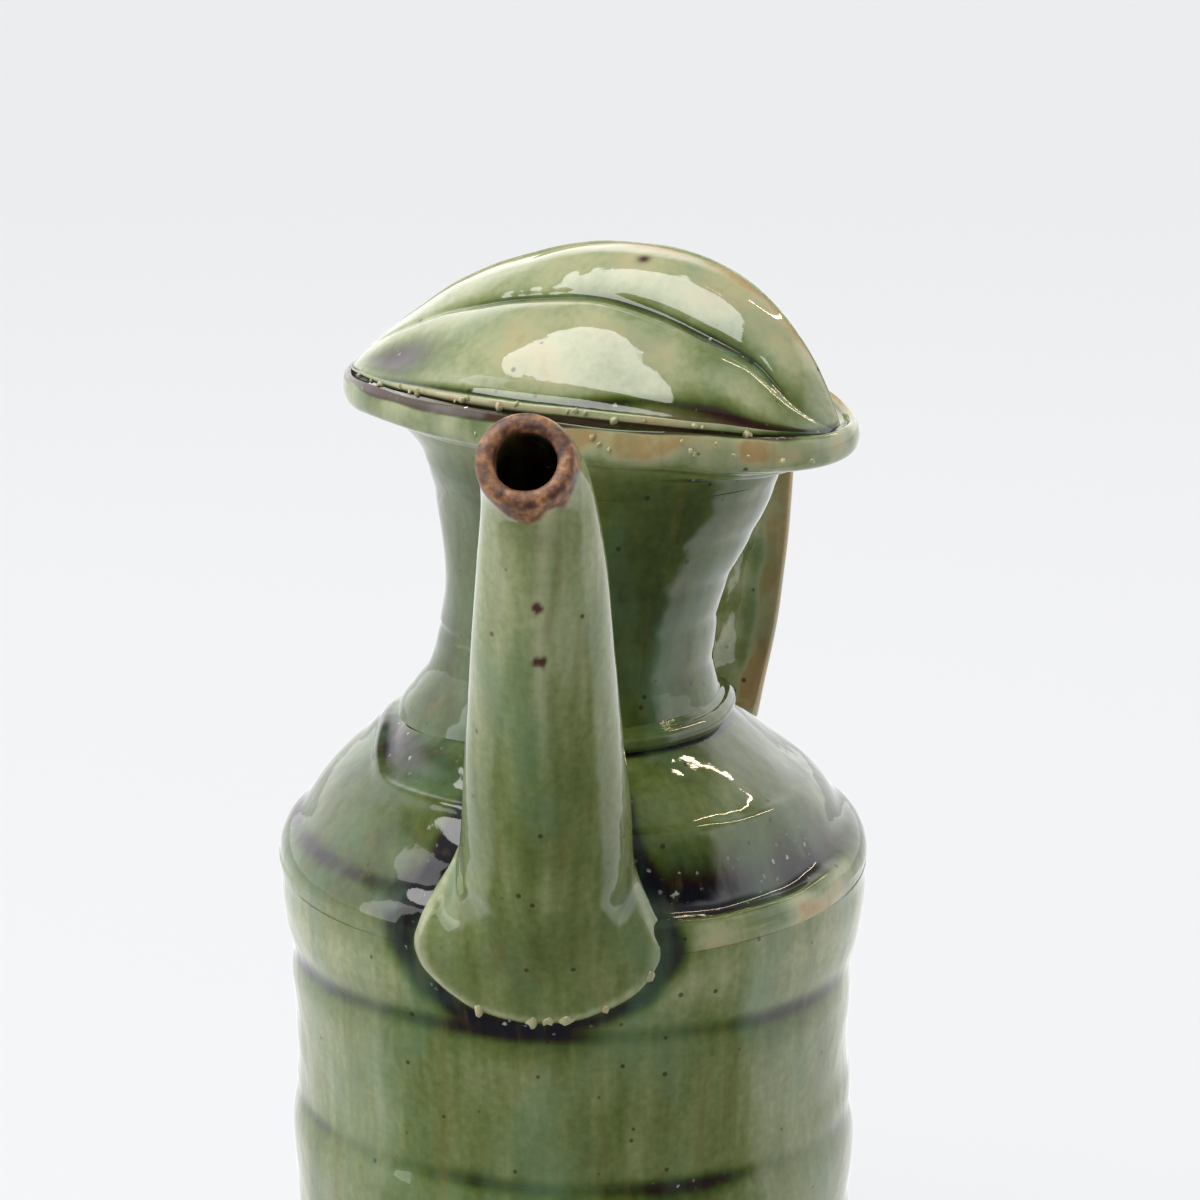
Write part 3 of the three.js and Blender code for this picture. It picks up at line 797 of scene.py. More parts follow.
def skirt_surface(angle, height):
    """Distance from the axis of the skirt's face."""
    wall = pot_radius(height)
    outline = skirt_outline(angle, height)
    lumps = 0.022 * np.sin(angle * 38 + 1) + 0.014 * np.sin(angle * 71 + 2)
    edge = SKIRT_CLAY * (1 - smoothstep(outline + lumps, 0.955, 1.03))
    edge = edge - 0.6 * smoothstep(outline, 1.0, 1.07)
    tube = tube_reach(angle, height) - 6 * smoothstep(height, 126, 135)
    filled = np.maximum(soft_larger(wall, tube, SKIRT_CORNER), wall)
    return wall + edge + (filled - wall) * (1 - smoothstep(outline, 0.62, 1.0))


def on_pot(radius, angle, height):
    """Points from a distance from the axis, an angle round the pot and a height."""
    return np.stack([radius * np.sin(angle), -radius * np.cos(angle), height], axis=-1)


SKIRT_ROWS, SKIRT_PLACES = 150, 320
share_out = (np.linspace(0.02, 1, SKIRT_ROWS)[:, None] ** 0.9) * 1.08
turn_round = np.linspace(0, 2 * math.pi, SKIRT_PLACES, endpoint=False)[None, :]
squareness = np.where(np.sin(turn_round) > 0, 0.5, 1)  # a U: round below, straight-sided above
aside_share = np.sign(np.cos(turn_round)) * np.abs(np.cos(turn_round)) ** squareness
up_share = np.sign(np.sin(turn_round)) * np.abs(np.sin(turn_round)) ** squareness
height_here = SKIRT_Z + share_out * up_share * np.where(up_share > 0, SKIRT_RISE, SKIRT_DROP)
across_here = (SKIRT_ASIDE + share_out * aside_share * skirt_half_width(height_here)) / SHOULDER_RADIUS
skirt_grid = np.concatenate([
    on_pot(skirt_surface(across_here, height_here), across_here, height_here),
    on_pot(pot_radius(height_here) - 1.6, across_here, height_here)[::-4],
])
skirt = skin("skirt_clay", skirt_grid)

# %% [markdown]
# ## The handle
#
# A strap is pulled from a wet lump with the hand, which leaves it flat, with thicker edges and a
# shallow channel down its middle. One end is pressed onto the back of the lip and the other is
# smeared onto the shoulder, so both ends spread. The strap is a section swept along a line.

# %% Handle
HANDLE_TURN = math.radians(-24.5)
STRAP_WIDTH, STRAP_FOOT_WIDTH, STRAP_THICKNESS = 26, 22, 4.6
STRAP_PLACES, STRAP_STEPS = 96, 260
strap_line = smooth_line([
    [28.5, 188.6], [31.8, 193.8], [37.5, 197.2], [45, 197], [51.4, 191.6], [54.4, 182], [54.8, 168],
    [53.4, 153], [49.6, 139.6], [43.8, 129.6], [38.4, 125.2],
], STRAP_STEPS)


def strap_rings():
    """The strap's section at each step of its line, wider and thicker at both ends."""
    outward = np.array([-math.sin(HANDLE_TURN), math.cos(HANDLE_TURN), 0])
    across = np.array([outward[1], -outward[0], 0])
    up = np.array([0, 0, 1.0])
    turn = np.linspace(0, 2 * math.pi, STRAP_PLACES, endpoint=False)
    c, s = np.cos(turn), np.sin(turn)
    wide = np.sign(c) * np.abs(c) ** 0.55
    deep = np.sign(s) * np.abs(s) ** 0.75
    slopes = np.gradient(strap_line, axis=0)
    rings = []
    for i, ((r, z), (dr, dz)) in enumerate(zip(strap_line, slopes)):
        share = i / (STRAP_STEPS - 1)
        length = math.hypot(dr, dz)
        out = (outward * -dz + up * dr) / length
        spread = 1 + 0.16 * bump(share, 0, 0.06) + 0.14 * bump(share, 1, 0.08)
        width = (STRAP_WIDTH + (STRAP_FOOT_WIDTH - STRAP_WIDTH) * share) * min(spread, 1.1)
        channel = 1 - 0.22 * bump(wide, 0.05, 0.45)
        thick = STRAP_THICKNESS / 2 * spread * channel
        centre = outward * r + up * z
        rings.append(centre + across * (wide * width / 2)[:, None] + out * (deep * thick)[:, None])
    return np.array(rings)


strap_grid = strap_rings()
strap_grid += 0.16 * unit_wave(strap_grid, 8, seed=13)[..., None] * [0.5, 0.6, 0.4]
handle = skin("handle_clay", strap_grid)

# %% [markdown]
# ## The foot
#
# The base is cut flat and its edge is trimmed. The glaze was wiped off it before the firing, so
# it would not stick to the kiln shelf, and the bare clay is toasted brown.

# %% Foot
FOOT_PLACES = 300
foot_base = smooth_line([[0.4, 0], [20, 0], [38, 0], [40.6, 0.1]], 30)
foot_side = smooth_line([[40.8, 0.15], [42.4, 0.9], [43.1, 2.4], [43.2, 5], [43.2, FOOT_TOP_Z]], 30)
foot_top = smooth_line([[43, FOOT_TOP_Z], [20, FOOT_TOP_Z], [0.4, FOOT_TOP_Z]], 12)
foot = skin("foot_clay", turned(np.vstack([foot_base, foot_side, foot_top]), FOOT_PLACES))

# %% [markdown]
# ## Where the glaze runs thick and thin
#
# Celadon is a glass that is pale where it is thin and nearly black where it is deep. In the kiln
# it flows off edges and into hollows, so its depth follows the shape. Each piece therefore gets
# three numbers on its points: `depth` of the glaze, `iron` where a spot has broken through, and
# `bare` where there is none. In a few places `depth` is also lowered to paint highlights and a
# reflection as paler glaze. A hollow is found by smoothing the mesh and seeing which points the
# smooth one covers. The materials read these attributes.

# %% Glaze depth from the shape
SHORT_EDGE = 2.4  # millimetres: longer edges cross a hidden end face, not the glazed skin
COVER_ROUNDS = 36  # how often the mesh is smoothed to find its hollows
POOLING, THINNING = 0.46, 0.34  # how much depth a hollow adds and a sharp edge takes


def mesh_arrays(mesh):
    """A mesh's points in mm, with the normals and edges of its glazed skin."""
    points = np.empty(len(mesh.vertices) * 3)
    mesh.vertices.foreach_get("co", points)
    points = points.reshape(-1, 3) / MM
    edges = np.empty(len(mesh.edges) * 2, dtype=int)
    mesh.edges.foreach_get("vertices", edges)
    edges = edges.reshape(-1, 2)
    edges = edges[np.linalg.norm(points[edges[:, 0]] - points[edges[:, 1]], axis=1) < SHORT_EDGE]
    mesh.calc_loop_triangles()
    corners = np.empty(len(mesh.loop_triangles) * 3, dtype=int)
    mesh.loop_triangles.foreach_get("vertices", corners)
    corners = corners.reshape(-1, 3)
    a, b, c = points[corners].transpose(1, 0, 2)
    longest = np.max([np.linalg.norm(p - q, axis=1) for p, q in ((a, b), (b, c), (c, a))], axis=0)
    skin_faces = longest < 1.5 * SHORT_EDGE
    square = np.cross(b - a, c - a)[skin_faces]
    normals = np.zeros_like(points)
    for k in range(3):
        np.add.at(normals, corners[skin_faces, k], square)
    return points, normals / (np.linalg.norm(normals, axis=1, keepdims=True) + 1e-12), edges


def smoothed(values, edges, rounds):
    """Values on the points, averaged with their neighbours' that many times."""
    count = len(values)
    both = np.concatenate([edges, edges[:, ::-1]])
    degree = np.bincount(both[:, 0], minlength=count)
    values = values.astype(float)
    for _ in range(rounds):
        sums = np.stack([np.bincount(both[:, 0], values[both[:, 1], i], minlength=count)
                         for i in range(values.shape[1])], axis=-1)
        halfway = 0.5 * values + 0.5 * sums / np.maximum(degree, 1)[:, None]
        values = np.where(degree[:, None] > 0, halfway, values)
    return values


def near(points, piece, reach):
    """1 on the other piece, falling to 0 at reach millimetres from it."""
    tree = BVHTree.FromPolygons([v.co for v in piece.data.vertices],
                                [p.vertices for p in piece.data.polygons])
    corners = np.array([v.co for v in piece.data.vertices]) / MM
    low, high = corners.min(0) - reach, corners.max(0) + reach
    close = np.zeros(len(points))
    for i in np.flatnonzero(((points > low) & (points < high)).all(1)):
        hit = tree.find_nearest(Vector(points[i] * MM), reach * MM)
        if hit[3] is not None:
            close[i] = 1 - hit[3] / MM / reach
    return close


def set_attribute(mesh, name, values):
    attribute = mesh.attributes.get(name) or mesh.attributes.new(name, "FLOAT", "POINT")
    attribute.data.foreach_set("value", np.clip(values, 0, 1).astype(np.float32))


def usual_depth(points):
    """How deep the glaze is on the body, shoulder, neck and mouth before the shape is counted."""
    z = points[:, 2]
    shoulder_share = smoothstep(z, 115.5, 119.5)
    flare_share = smoothstep(z, 179, 188)
    return 0.36 + 0.2 * shoulder_share - 0.36 * flare_share


def lay_glaze(piece, depth=usual_depth, neighbours=(), reach=2.6, joins=(), iron=None, bare=None):
    """Works out a piece's glaze depth from its shape. depth gives the usual depth at the points,
    the glaze pools against the neighbours, and it runs on over the pieces that it joins."""
    points, normals, edges = mesh_arrays(piece.data)
    cover = ((smoothed(points, edges, COVER_ROUNDS) - points) * normals).sum(1)
    hollow = smoothstep(cover, 0.03, 0.34)
    sharp = smoothstep(-cover, 0.14, 0.75)
    for other in neighbours:
        closeness = near(points, other, reach)
        hollow = np.maximum(hollow, smoothstep(closeness, 0.15, 0.75))
    for other in joins:
        run_on = smoothstep(near(points, other, 2.2), 0.1, 0.9)
        hollow, sharp = hollow * (1 - run_on), sharp * (1 - run_on)
    patchy = 0.7 + 0.5 * unit_wave(points, 4, seed=38)
    total = depth(points) + POOLING * hollow - THINNING * sharp * patchy
    total = smoothed(total[:, None], edges, 2)[:, 0]
    set_attribute(piece.data, "depth", total)
    set_attribute(piece.data, "iron", np.zeros(len(points)) if iron is None else iron(points))
    set_attribute(piece.data, "bare", np.zeros(len(points)) if bare is None else bare(points))
    print(f"{piece.name}: glaze depth {total.min():.2f} to {total.max():.2f}")


def spots(points, centres, radius):
    """1 at the middle of each iron spot."""
    far = np.min([np.linalg.norm(points - c, axis=1) / (radius * k) for *c, k in centres], axis=0)
    ragged = 0.3 * unit_wave(points, 0.8, seed=21)
    return 1 - smoothstep(far + ragged, 0.55, 1.15)


# %% [markdown]
# ## One clay for the tube and its skirt
#
# The skirt and the tube were one clay, so a voxel remesh makes them one skin. Rounds of smoothing
# hide where they met: many at the root, and only a few further up, where the tube has to stay
# crisp. It comes before the glaze, because the glaze is worked out on the finished points.

# %% The tube and its skirt become one skin
VOXEL = 0.42  # millimetres
ROOT_LOW, ROOT_HIGH = 132, 142  # heights between which the strong smoothing fades out


def as_one_clay(piece, other, voxel, rounds):
    """Piece becomes the remeshed union of itself and the other, which is removed."""
    joined = bpy.data.meshes.new(piece.name)
    points, faces, start = [], [], 0
    for each in (piece, other):
        points += [v.co[:] for v in each.data.vertices]
        faces += [[start + i for i in p.vertices] for p in each.data.polygons]
        start = len(points)
    joined.from_pydata(points, [], faces)
    piece.data = joined
    remesh = piece.modifiers.new("one clay", "REMESH")
    remesh.mode = "VOXEL"
    remesh.voxel_size = voxel * MM
    graph = bpy.context.evaluated_depsgraph_get()
    mesh = bpy.data.meshes.new_from_object(piece.evaluated_get(graph), depsgraph=graph)
    piece.modifiers.remove(remesh)
    bpy.data.objects.remove(other)
    found, _, edges = mesh_arrays(mesh)
    relaxed = smoothed(found, edges, rounds)
    root = 1 - smoothstep(found[:, 2], ROOT_LOW, ROOT_HIGH)
    lightly = smoothed(found, edges, 3)
    final = lightly + (relaxed - lightly) * root[:, None]
    mesh.vertices.foreach_set("co", (final * MM).ravel())
    if signed_volume(mesh) < 0:
        mesh.flip_normals()
    piece.data = mesh
    shade(mesh)
    print(f"{piece.name}: {len(mesh.polygons)} faces after the remesh")


as_one_clay(spout, skirt, VOXEL, rounds=20)

# %% [markdown]
# Most depth follows from the shape alone. What else the glaze does, such as the pools beside the
# spout and the lines in the grooves, each piece gets from a small function of its points.

# %% Pools on the wall and the shoulder
def seam_depth(points):
    """A dark line of glaze just outside the skirt's edge, and a pool on either side of it."""
    angle, z = round_the_pot(points), points[:, 2]
    outline = skirt_outline(angle, z)
    front = smoothstep(-points[:, 1], 25, 32) * (1 - smoothstep(z, 134, 138))
    wobble = 0.02 * unit_wave(points, 3, seed=31)
    left_pool = 0.5 * side_bell(angle, -27, 6) * bump(z, 120.5, 4.5)
    right_pool = 0.3 * side_bell(angle, 25, 6) * bump(z, 118, 4)
    to_left = smoothstep(-angle, 0, math.radians(16))
    line = (0.76 + 0.06 * to_left) * bump(outline + wobble, 1.09 + 0.03 * to_left, 0.09 + 0.035 * to_left)
    return (line + left_pool + right_pool) * front


def groove_depth(points):
    """Brown lines where the glaze hangs in the throwing grooves, and a painted highlight: a paler band on
    the swelling under the rim.
    """
    groove = GROOVE_Z + GROOVE_TILT * np.cos(round_the_pot(points) - GROOVE_TILT_ANGLE)
    patchy = 0.5 + 0.5 * unit_wave(points, 14, seed=32)
    line = 0
    for drop in (0, GROOVE_PITCH, 2 * GROOVE_PITCH):
        above = points[:, 2] - (groove - drop)
        line = line + bump(above, 0, 1.0) + 0.3 * bump(above, -2, 3)
    painted_highlight_band = 0.1 * bump(points[:, 2], 109, 4)  # painted highlight: the swelling under the rim is made paler, standing in for its sheen
    return 0.48 * line * np.clip(patchy, 0.15, 1.2) - painted_highlight_band


def shoulder_depth(points):
    """Pools in the gutter, under the neck and by the skirt, a thin cream line on the rim, and a painted
    reflection: a paler patch on the face beside the spout.
    """
    angle, reach = round_the_pot(points), from_axis(points)
    dent = thumb_dent(angle)
    right_gutter = dent * bump(reach, 43.2, 2.2)
    left_line = side_bell(angle, -75, 45) * bump(reach, 44.6, 0.9)
    under_neck = side_bell(angle, -62, 28) * bump(reach, 30, 2.6)
    rim = smoothstep(dent, 0.3, 0.8) * bump(reach, 46.9, 0.95) * (0.6 + 0.5 * unit_wave(points, 5, 34))
    # painted reflection: the face on the +X side is made paler where it mirrors the bright room
    face = 0.13 * side_bell(angle, 40, 26) * bump(reach, 34, 5)
    return (usual_depth(points) + seam_depth(points) + 0.52 * right_gutter + 0.42 * left_line
            + 0.35 * under_neck - 0.42 * rim - face)


print("glaze depth for the wall and the shoulder is ready")


# %% Pools on the mouth and the hood
def mouth_share(points):
    """Where a point lies between the mouth's left tip, -1, and its right one, 1."""
    c, s = math.cos(MOUTH_TURN), math.sin(MOUTH_TURN)
    return ((points[:, 0] - lean(points[:, 2])) * c + points[:, 1] * s - MOUTH_SHIFT) / MOUTH_HALF_WIDTH


def lip_gutter(points):
    """1 on top of the lip's bead, where a red-brown line of glaze lies against the hood."""
    share = mouth_share(points)
    under_top = points[:, 2] - lip_top(np.clip(share, -1, 1))
    low = -1.5 + 0.3 * smoothstep(-share, 0.5, 0.9) + 0.9 * smoothstep(share, 0, 0.5)
    low = low + 0.25 * unit_wave(points, 6, seed=33)
    at_front = smoothstep(-points[:, 1] - 20 * np.clip(share, 0, 1), -12, -8)
    return smoothstep(under_top - low, 0, 0.45) * at_front * (1 - smoothstep(share, 0.9, 0.97))


def mouth_depth(points):
    """Usual depth, thinner and patchy on the rolled bead of the lip."""
    on_bead = smoothstep(points[:, 2], 183.5, 187)
    to_right = smoothstep(mouth_share(points), -0.5, 0.3)
    bead = 0.06 - 0.2 * to_right + 0.13 * unit_wave(points, 4, seed=35)
    return usual_depth(points) + on_bead * bead + 0.6 * lip_gutter(points)


hood_shares = hood_along[:, None], np.linspace(0, 1, HOOD_UP)[None, :]


def over_hood(face, elsewhere):
    """Values on the hood's outer face, and one value on its crest and its inner face."""
    values = np.full(hood_grid.shape[:2], elsewhere)
    values[:, :HOOD_UP] = face
    return np.concatenate([values.ravel(), [elsewhere, elsewhere]])


def hood_gutter(along, up):
    """1 at the hood's foot, where it carries on the lip's red-brown line."""
    right = smoothstep(along, 0, 0.35)
    return 1 - smoothstep(up, 0.022 + 0.028 * right, 0.042 + 0.033 * right)


def hood_depth(points):
    """Pooled in the folds and in a hollow on the left, and nearly nothing on the crest."""
    along, up = hood_shares
    right = smoothstep(along, 0, 0.35)
    upper_line = low_crease(along) + 0.05 * bump(along, 0.55, 0.25)
    face = 0.16 + (0.12 + 0.09 * right) * bump(up, high_crease(along) + 0.02, 0.09 + 0.02 * right)
    face = face + 0.2 * bump(along, -0.3, 0.16) * bump(up, high_crease(along) + 0.01, 0.03)
    face = face + 0.75 * bump(along, -0.62, 0.2) * bump(up, 0.33, 0.14)
    face = face + 0.5 * bump(up, upper_line, 0.022) * smoothstep(along, -0.75, -0.45)
    face = face + 0.4 * bump(along, 0.72, 0.16) * bump(up, upper_line + 0.03, 0.05)
    face = face + 0.03 * smoothstep(along, 0.2, 0.8) * smoothstep(up, 0.3, 0.6)
    face = face - 0.16 * smoothstep(up, 0.9, 0.99) * smoothstep(along, -0.35, 0.3)
    face = face - 0.1 * bump(up, 0.075, 0.03) + 0.66 * hood_gutter(along, up)
    return over_hood(face, 0.3) + 0.05 * unit_wave(points, 6, seed=36)


def hood_iron(points):
    """The blister on the dome, and red-brown where the glaze lies in the folds."""
    along, up = hood_shares
    fold = bump(up, low_crease(along) + 0.01, 0.03) * smoothstep(along, 0.35, 0.6)
    hollow = bump(along, -0.64, 0.2) * bump(up, 0.33, 0.13)
    blister = bump(along, 0.22, 0.024) * bump(up, 0.86, 0.024)
    return over_hood(0.75 * hood_gutter(along, up) + 0.5 * fold + 0.35 * hollow + 1.2 * blister, 0.0)


print("the hood's depth is drawn on", hood_grid.shape[0], "slices")


# %% Pools on the spout and the handle, and then the glaze on each piece
def spout_depth(points):
    """Thin on the skirt's edge, pooled in the bore, and thinner on the ridge down the tube's front, where
    the paler glaze also paints the highlight line along the ridge.
    """
    outline = skirt_outline(round_the_pot(points), points[:, 2])
    on_skirt = (1 - smoothstep(points[:, 2], 126, 134)) * smoothstep(-points[:, 1], 30, 40)
    in_bore = np.array([np.linalg.norm(spout_line - p, axis=1).min() < 5.2 for p in points])
    rising = spout_line[60:]  # past the stretch that is buried in the pot
    aside = points[:, 0] - np.interp(points[:, 2], rising[:, 2], rising[:, 0])
    # thinner glaze on the front ridge, which also paints the pale highlight line that runs down it
    ridge = bump(aside + 0.4 * unit_wave(points, 9, seed=41), 1.0, 1.0)
    ridge = ridge * smoothstep(points[:, 2], 110, 130)
    face = 0.41 - 0.14 * smoothstep(points[:, 2], 135, 180) - 0.2 * on_skirt * bump(outline, 0.96, 0.05)
    face = face - 0.11 * ridge * smoothstep(-points[:, 1], 38, 44)
    return np.where(in_bore, 0.72, face)


def handle_depth(points):
    """Deep on the strap's inner face and thin on its two edges."""
    aside = np.abs(points[:, 0] * math.cos(HANDLE_TURN) + points[:, 1] * math.sin(HANDLE_TURN))
    on_edge = smoothstep(aside, 7.4, 9.2)
    return 0.33 - 0.34 * on_edge + 0.1 * unit_wave(points, 4, seed=37)


def spout_bare(points):
    """1 on the cut rim, where the glaze was wiped off."""
    past_rim = ((points - spout_line[-1]) * [0, -0.75, 0.3]).sum(1)
    return smoothstep(past_rim + 0.5 * unit_wave(points, 2, seed=22), -2.6, -1.4)


SPOUT_IRON = [  # x, y, z and the size of each spot against the others
    [1.2, -61.8, 172.5, 1], [1.2, -60.2, 164.5, 1], [-5.4, -58.5, 183, 0.8], [-6.3, -57.5, 180.5, 0.6],
]
lay_glaze(body_wall, lambda p: usual_depth(p) + seam_depth(p) + groove_depth(p), joins=[shoulder])
lay_glaze(shoulder, shoulder_depth, neighbours=[neck_collar, handle], reach=1.6, joins=[body_wall])
lay_glaze(neck_collar, joins=[neck])
lay_glaze(neck, joins=[neck_collar, mouth_flange])
lay_glaze(mouth_flange, mouth_depth, neighbours=[hood], reach=1.7, joins=[neck],
          iron=lambda p: 0.75 * lip_gutter(p))
lay_glaze(hood, hood_depth, neighbours=[mouth_flange], reach=1.7, iron=hood_iron)
lay_glaze(spout, spout_depth, iron=lambda p: spots(p, SPOUT_IRON, 1.1), bare=spout_bare)
lay_glaze(handle, handle_depth, neighbours=[mouth_flange, shoulder])

# %% [markdown]
# ## Crumbs of clay
#
# Wet hands leave crumbs where the skirt was smeared on and along the rolled edges, and the glaze
# seals them in. They repeat along a line, so Geometry Nodes put a small rough ball on a random
# few of the points that they are given, each with its own size and turn.

# %% A tree that sets crumbs
def crumb_tree():
    """A rough little ball on a random few of the given points."""
    tree, given = open_tree("clay_crumbs", ("Share kept", "Smallest", "Largest"), ("Seed",))
    kept = add_node(tree, "FunctionNodeRandomValue", {"data_type": "BOOLEAN"}, {
        "Probability": given.outputs["Share kept"], "Seed": given.outputs["Seed"]})
    size = add_node(tree, "FunctionNodeRandomValue", {"data_type": "FLOAT"}, {
        2: given.outputs["Smallest"], 3: given.outputs["Largest"], "Seed": given.outputs["Seed"]})
    turn = add_node(tree, "FunctionNodeRandomValue", {"data_type": "FLOAT_VECTOR", 1: (6.3, 6.3, 6.3)}, {
        "Seed": given.outputs["Seed"]})
    ball = add_node(tree, "GeometryNodeMeshIcoSphere", {"Radius": 1.0, "Subdivisions": 2})
    lumpy = add_node(tree, "ShaderNodeTexNoise", {"Scale": 1.2, "Detail": 1.0})
    shift = add_node(tree, "ShaderNodeVectorMath", {"operation": "SUBTRACT"}, {
        0: lumpy.outputs["Color"]})
    shift.inputs[1].default_value = (0.5, 0.5, 0.5)
    rough = add_node(tree, "GeometryNodeSetPosition", links={
        "Geometry": ball.outputs["Mesh"], "Offset": shift.outputs[0]})
    flat = add_node(tree, "GeometryNodeTransform", {"Scale": (1.25, 0.8, 0.9)}, {0: rough.outputs[0]})
    placed = add_node(tree, "GeometryNodeInstanceOnPoints", links={
        "Points": given.outputs["Geometry"], "Selection": kept.outputs[3], "Instance": flat.outputs[0],
        "Rotation": turn.outputs[0], "Scale": size.outputs[1]})
    return close_tree(tree, given, placed.outputs[0])


def crumbs_on(name, points, inputs):
    """A piece made of crumbs on some of the points, which are in mm."""
    mesh = bpy.data.meshes.new(name)
    mesh.from_pydata((np.array(points) * MM).tolist(), [], [])
    piece = bpy.data.objects.new(name, mesh)
    bpy.context.collection.objects.link(piece)
    through_tree(piece, crumb_rule, inputs)
    set_attribute(piece.data, "depth", np.full(len(piece.data.vertices), 0.1))
    print(f"{name}: {len(piece.data.polygons)} faces")
    return piece


crumb_rule = crumb_tree()
seam_turn = np.radians(np.linspace(200, 342, 90))
seam_height = SKIRT_Z + 0.985 * SKIRT_DROP * np.sin(seam_turn)
seam_angle = (SKIRT_ASIDE + 0.985 * skirt_half_width(seam_height) * np.cos(seam_turn)) / SHOULDER_RADIUS
seam_points = on_pot(pot_radius(seam_height) + 0.1, seam_angle, seam_height)
seam_crumbs = crumbs_on("seam_crumbs", seam_points, {
    "Share kept": 0.09, "Smallest": 0.55 * MM, "Largest": 1.15 * MM, "Seed": 4})
ridge_along = np.linspace(-0.9, 0.85, 220)
ridge_up = 0.075 + 0.03 * np.sin(ridge_along * 31)
edge_points = np.array([hood_point(a, np.array([u]), 0)[0] for a, u in zip(ridge_along, ridge_up)])
edge_crumbs = crumbs_on("hood_edge_crumbs", edge_points, {
    "Share kept": 0.12, "Smallest": 0.3 * MM, "Largest": 0.75 * MM, "Seed": 7})
bead_turn = np.linspace(math.pi, 2 * math.pi, 260)
bead_height = lip_top(np.cos(bead_turn)) - 2.2 + 1.2 * np.sin(bead_turn * 37)
bead_points = mouth_place(MOUTH_HALF_WIDTH * np.cos(bead_turn) - MOUTH_SHIFT,
                          MOUTH_FRONT * np.sin(bead_turn) * 0.99, bead_height)
lip_crumbs = crumbs_on("lip_crumbs", bead_points, {
    "Share kept": 0.1, "Smallest": 0.25 * MM, "Largest": 0.55 * MM, "Seed": 11})

# %% [markdown]
# ## Celadon glaze
#
# Celadon is a wood-ash glass with a little iron. It was fired without enough air, which turns the
# iron green. The eye sees a hard, wet gloss, a colour that slides from tan over cream and
# grey-green to bottle green and brown-black as the glass deepens, runs that follow gravity, iron
# specks, and white flecks where ash did not melt. One depth value drives one colour ramp.

# %% Colour helpers
def linear(code):
    """A hex colour as the linear red, green, blue and alpha that shaders want."""
    parts = [int(code[i : i + 2], 16) / 255 for i in (1, 3, 5)]
    return (*(p / 12.92 if p <= 0.04045 else ((p + 0.055) / 1.055) ** 2.4 for p in parts), 1)


def ramp(tree, fac, stops):
    """A colour ramp: stops are (place, hex colour)."""
    node = add_node(tree, "ShaderNodeValToRGB", links={"Fac": fac})
    node.color_ramp.interpolation = "B_SPLINE"
    elements = node.color_ramp.elements
    while len(elements) < len(stops):
        elements.new(0.5)
    for element, (place, code) in zip(elements, stops):
        element.position = place
        element.color = linear(code)
    return node.outputs["Color"]


def mixed(tree, fac, under, over):
    """Colour over laid on colour under. Each is a socket or a hex code."""
    node = add_node(tree, "ShaderNodeMix", {"data_type": "RGBA", "clamp_factor": True})
    for slot, value in ((0, fac), (6, under), (7, over)):
        if isinstance(value, str):
            node.inputs[slot].default_value = linear(value)
        elif isinstance(value, (int, float)):
            node.inputs[slot].default_value = value
        else:
            tree.links.new(value, node.inputs[slot])
    return node.outputs[2]


def stepped(tree, value, low, high):
    """0 below low, 1 above high, smooth between."""
    node = add_node(tree, "ShaderNodeMapRange", {"interpolation_type": "SMOOTHSTEP"})
    node.inputs["From Min"].default_value = low
    node.inputs["From Max"].default_value = high
    tree.links.new(value, node.inputs["Value"])
    return node.outputs["Result"]


def clay_place(tree, shift, stretch=1):
    """The place on the pot for a texture, shifted, and stretched upwards."""
    place = add_node(tree, "ShaderNodeTexCoord").outputs["Object"]
    moved = add_node(tree, "ShaderNodeMapping", links={"Vector": place})
    moved.inputs["Location"].default_value = shift
    moved.inputs["Scale"].default_value = (1, 1, 1 / stretch)
    return moved.outputs[0]


def noise(tree, size, stretch=1, seed=0.0, detail=3.0):
    """Noise between 0 and 1 with lumps of that size in mm. stretch lengthens them upwards."""
    made = add_node(tree, "ShaderNodeTexNoise", {"Scale": 1 / (size * MM), "Detail": detail},
                    {"Vector": clay_place(tree, (seed, seed * 2, seed * 3), stretch)})
    return made.outputs["Fac"]


def dots(tree, spacing, seed=0.0):
    """Distance from the nearest of many scattered dots, as a share of their spacing in mm."""
    made = add_node(tree, "ShaderNodeTexVoronoi", {"Scale": 1 / (spacing * MM)},
                    {"Vector": clay_place(tree, (seed, seed, seed))})
    return made.outputs["Distance"]


def attribute(tree, name):
    """One of the numbers that the points carry."""
    return add_node(tree, "ShaderNodeAttribute", {"attribute_name": name}).outputs["Fac"]


def times(tree, a, b):
    return maths(tree, "MULTIPLY", a, b)


def empty_material(name):
    """A material without nodes, and its tree."""
    material = bpy.data.materials.new(name)
    material.use_nodes = True
    material.node_tree.nodes.clear()
    return material, material.node_tree


def finish_material(tree, settings, links):
    """The shader that the light meets, at the end of the tree."""
    shader = add_node(tree, "ShaderNodeBsdfPrincipled", settings, links)
    add_node(tree, "ShaderNodeOutputMaterial", links={"Surface": shader.outputs[0]})


print("colour helpers ready")


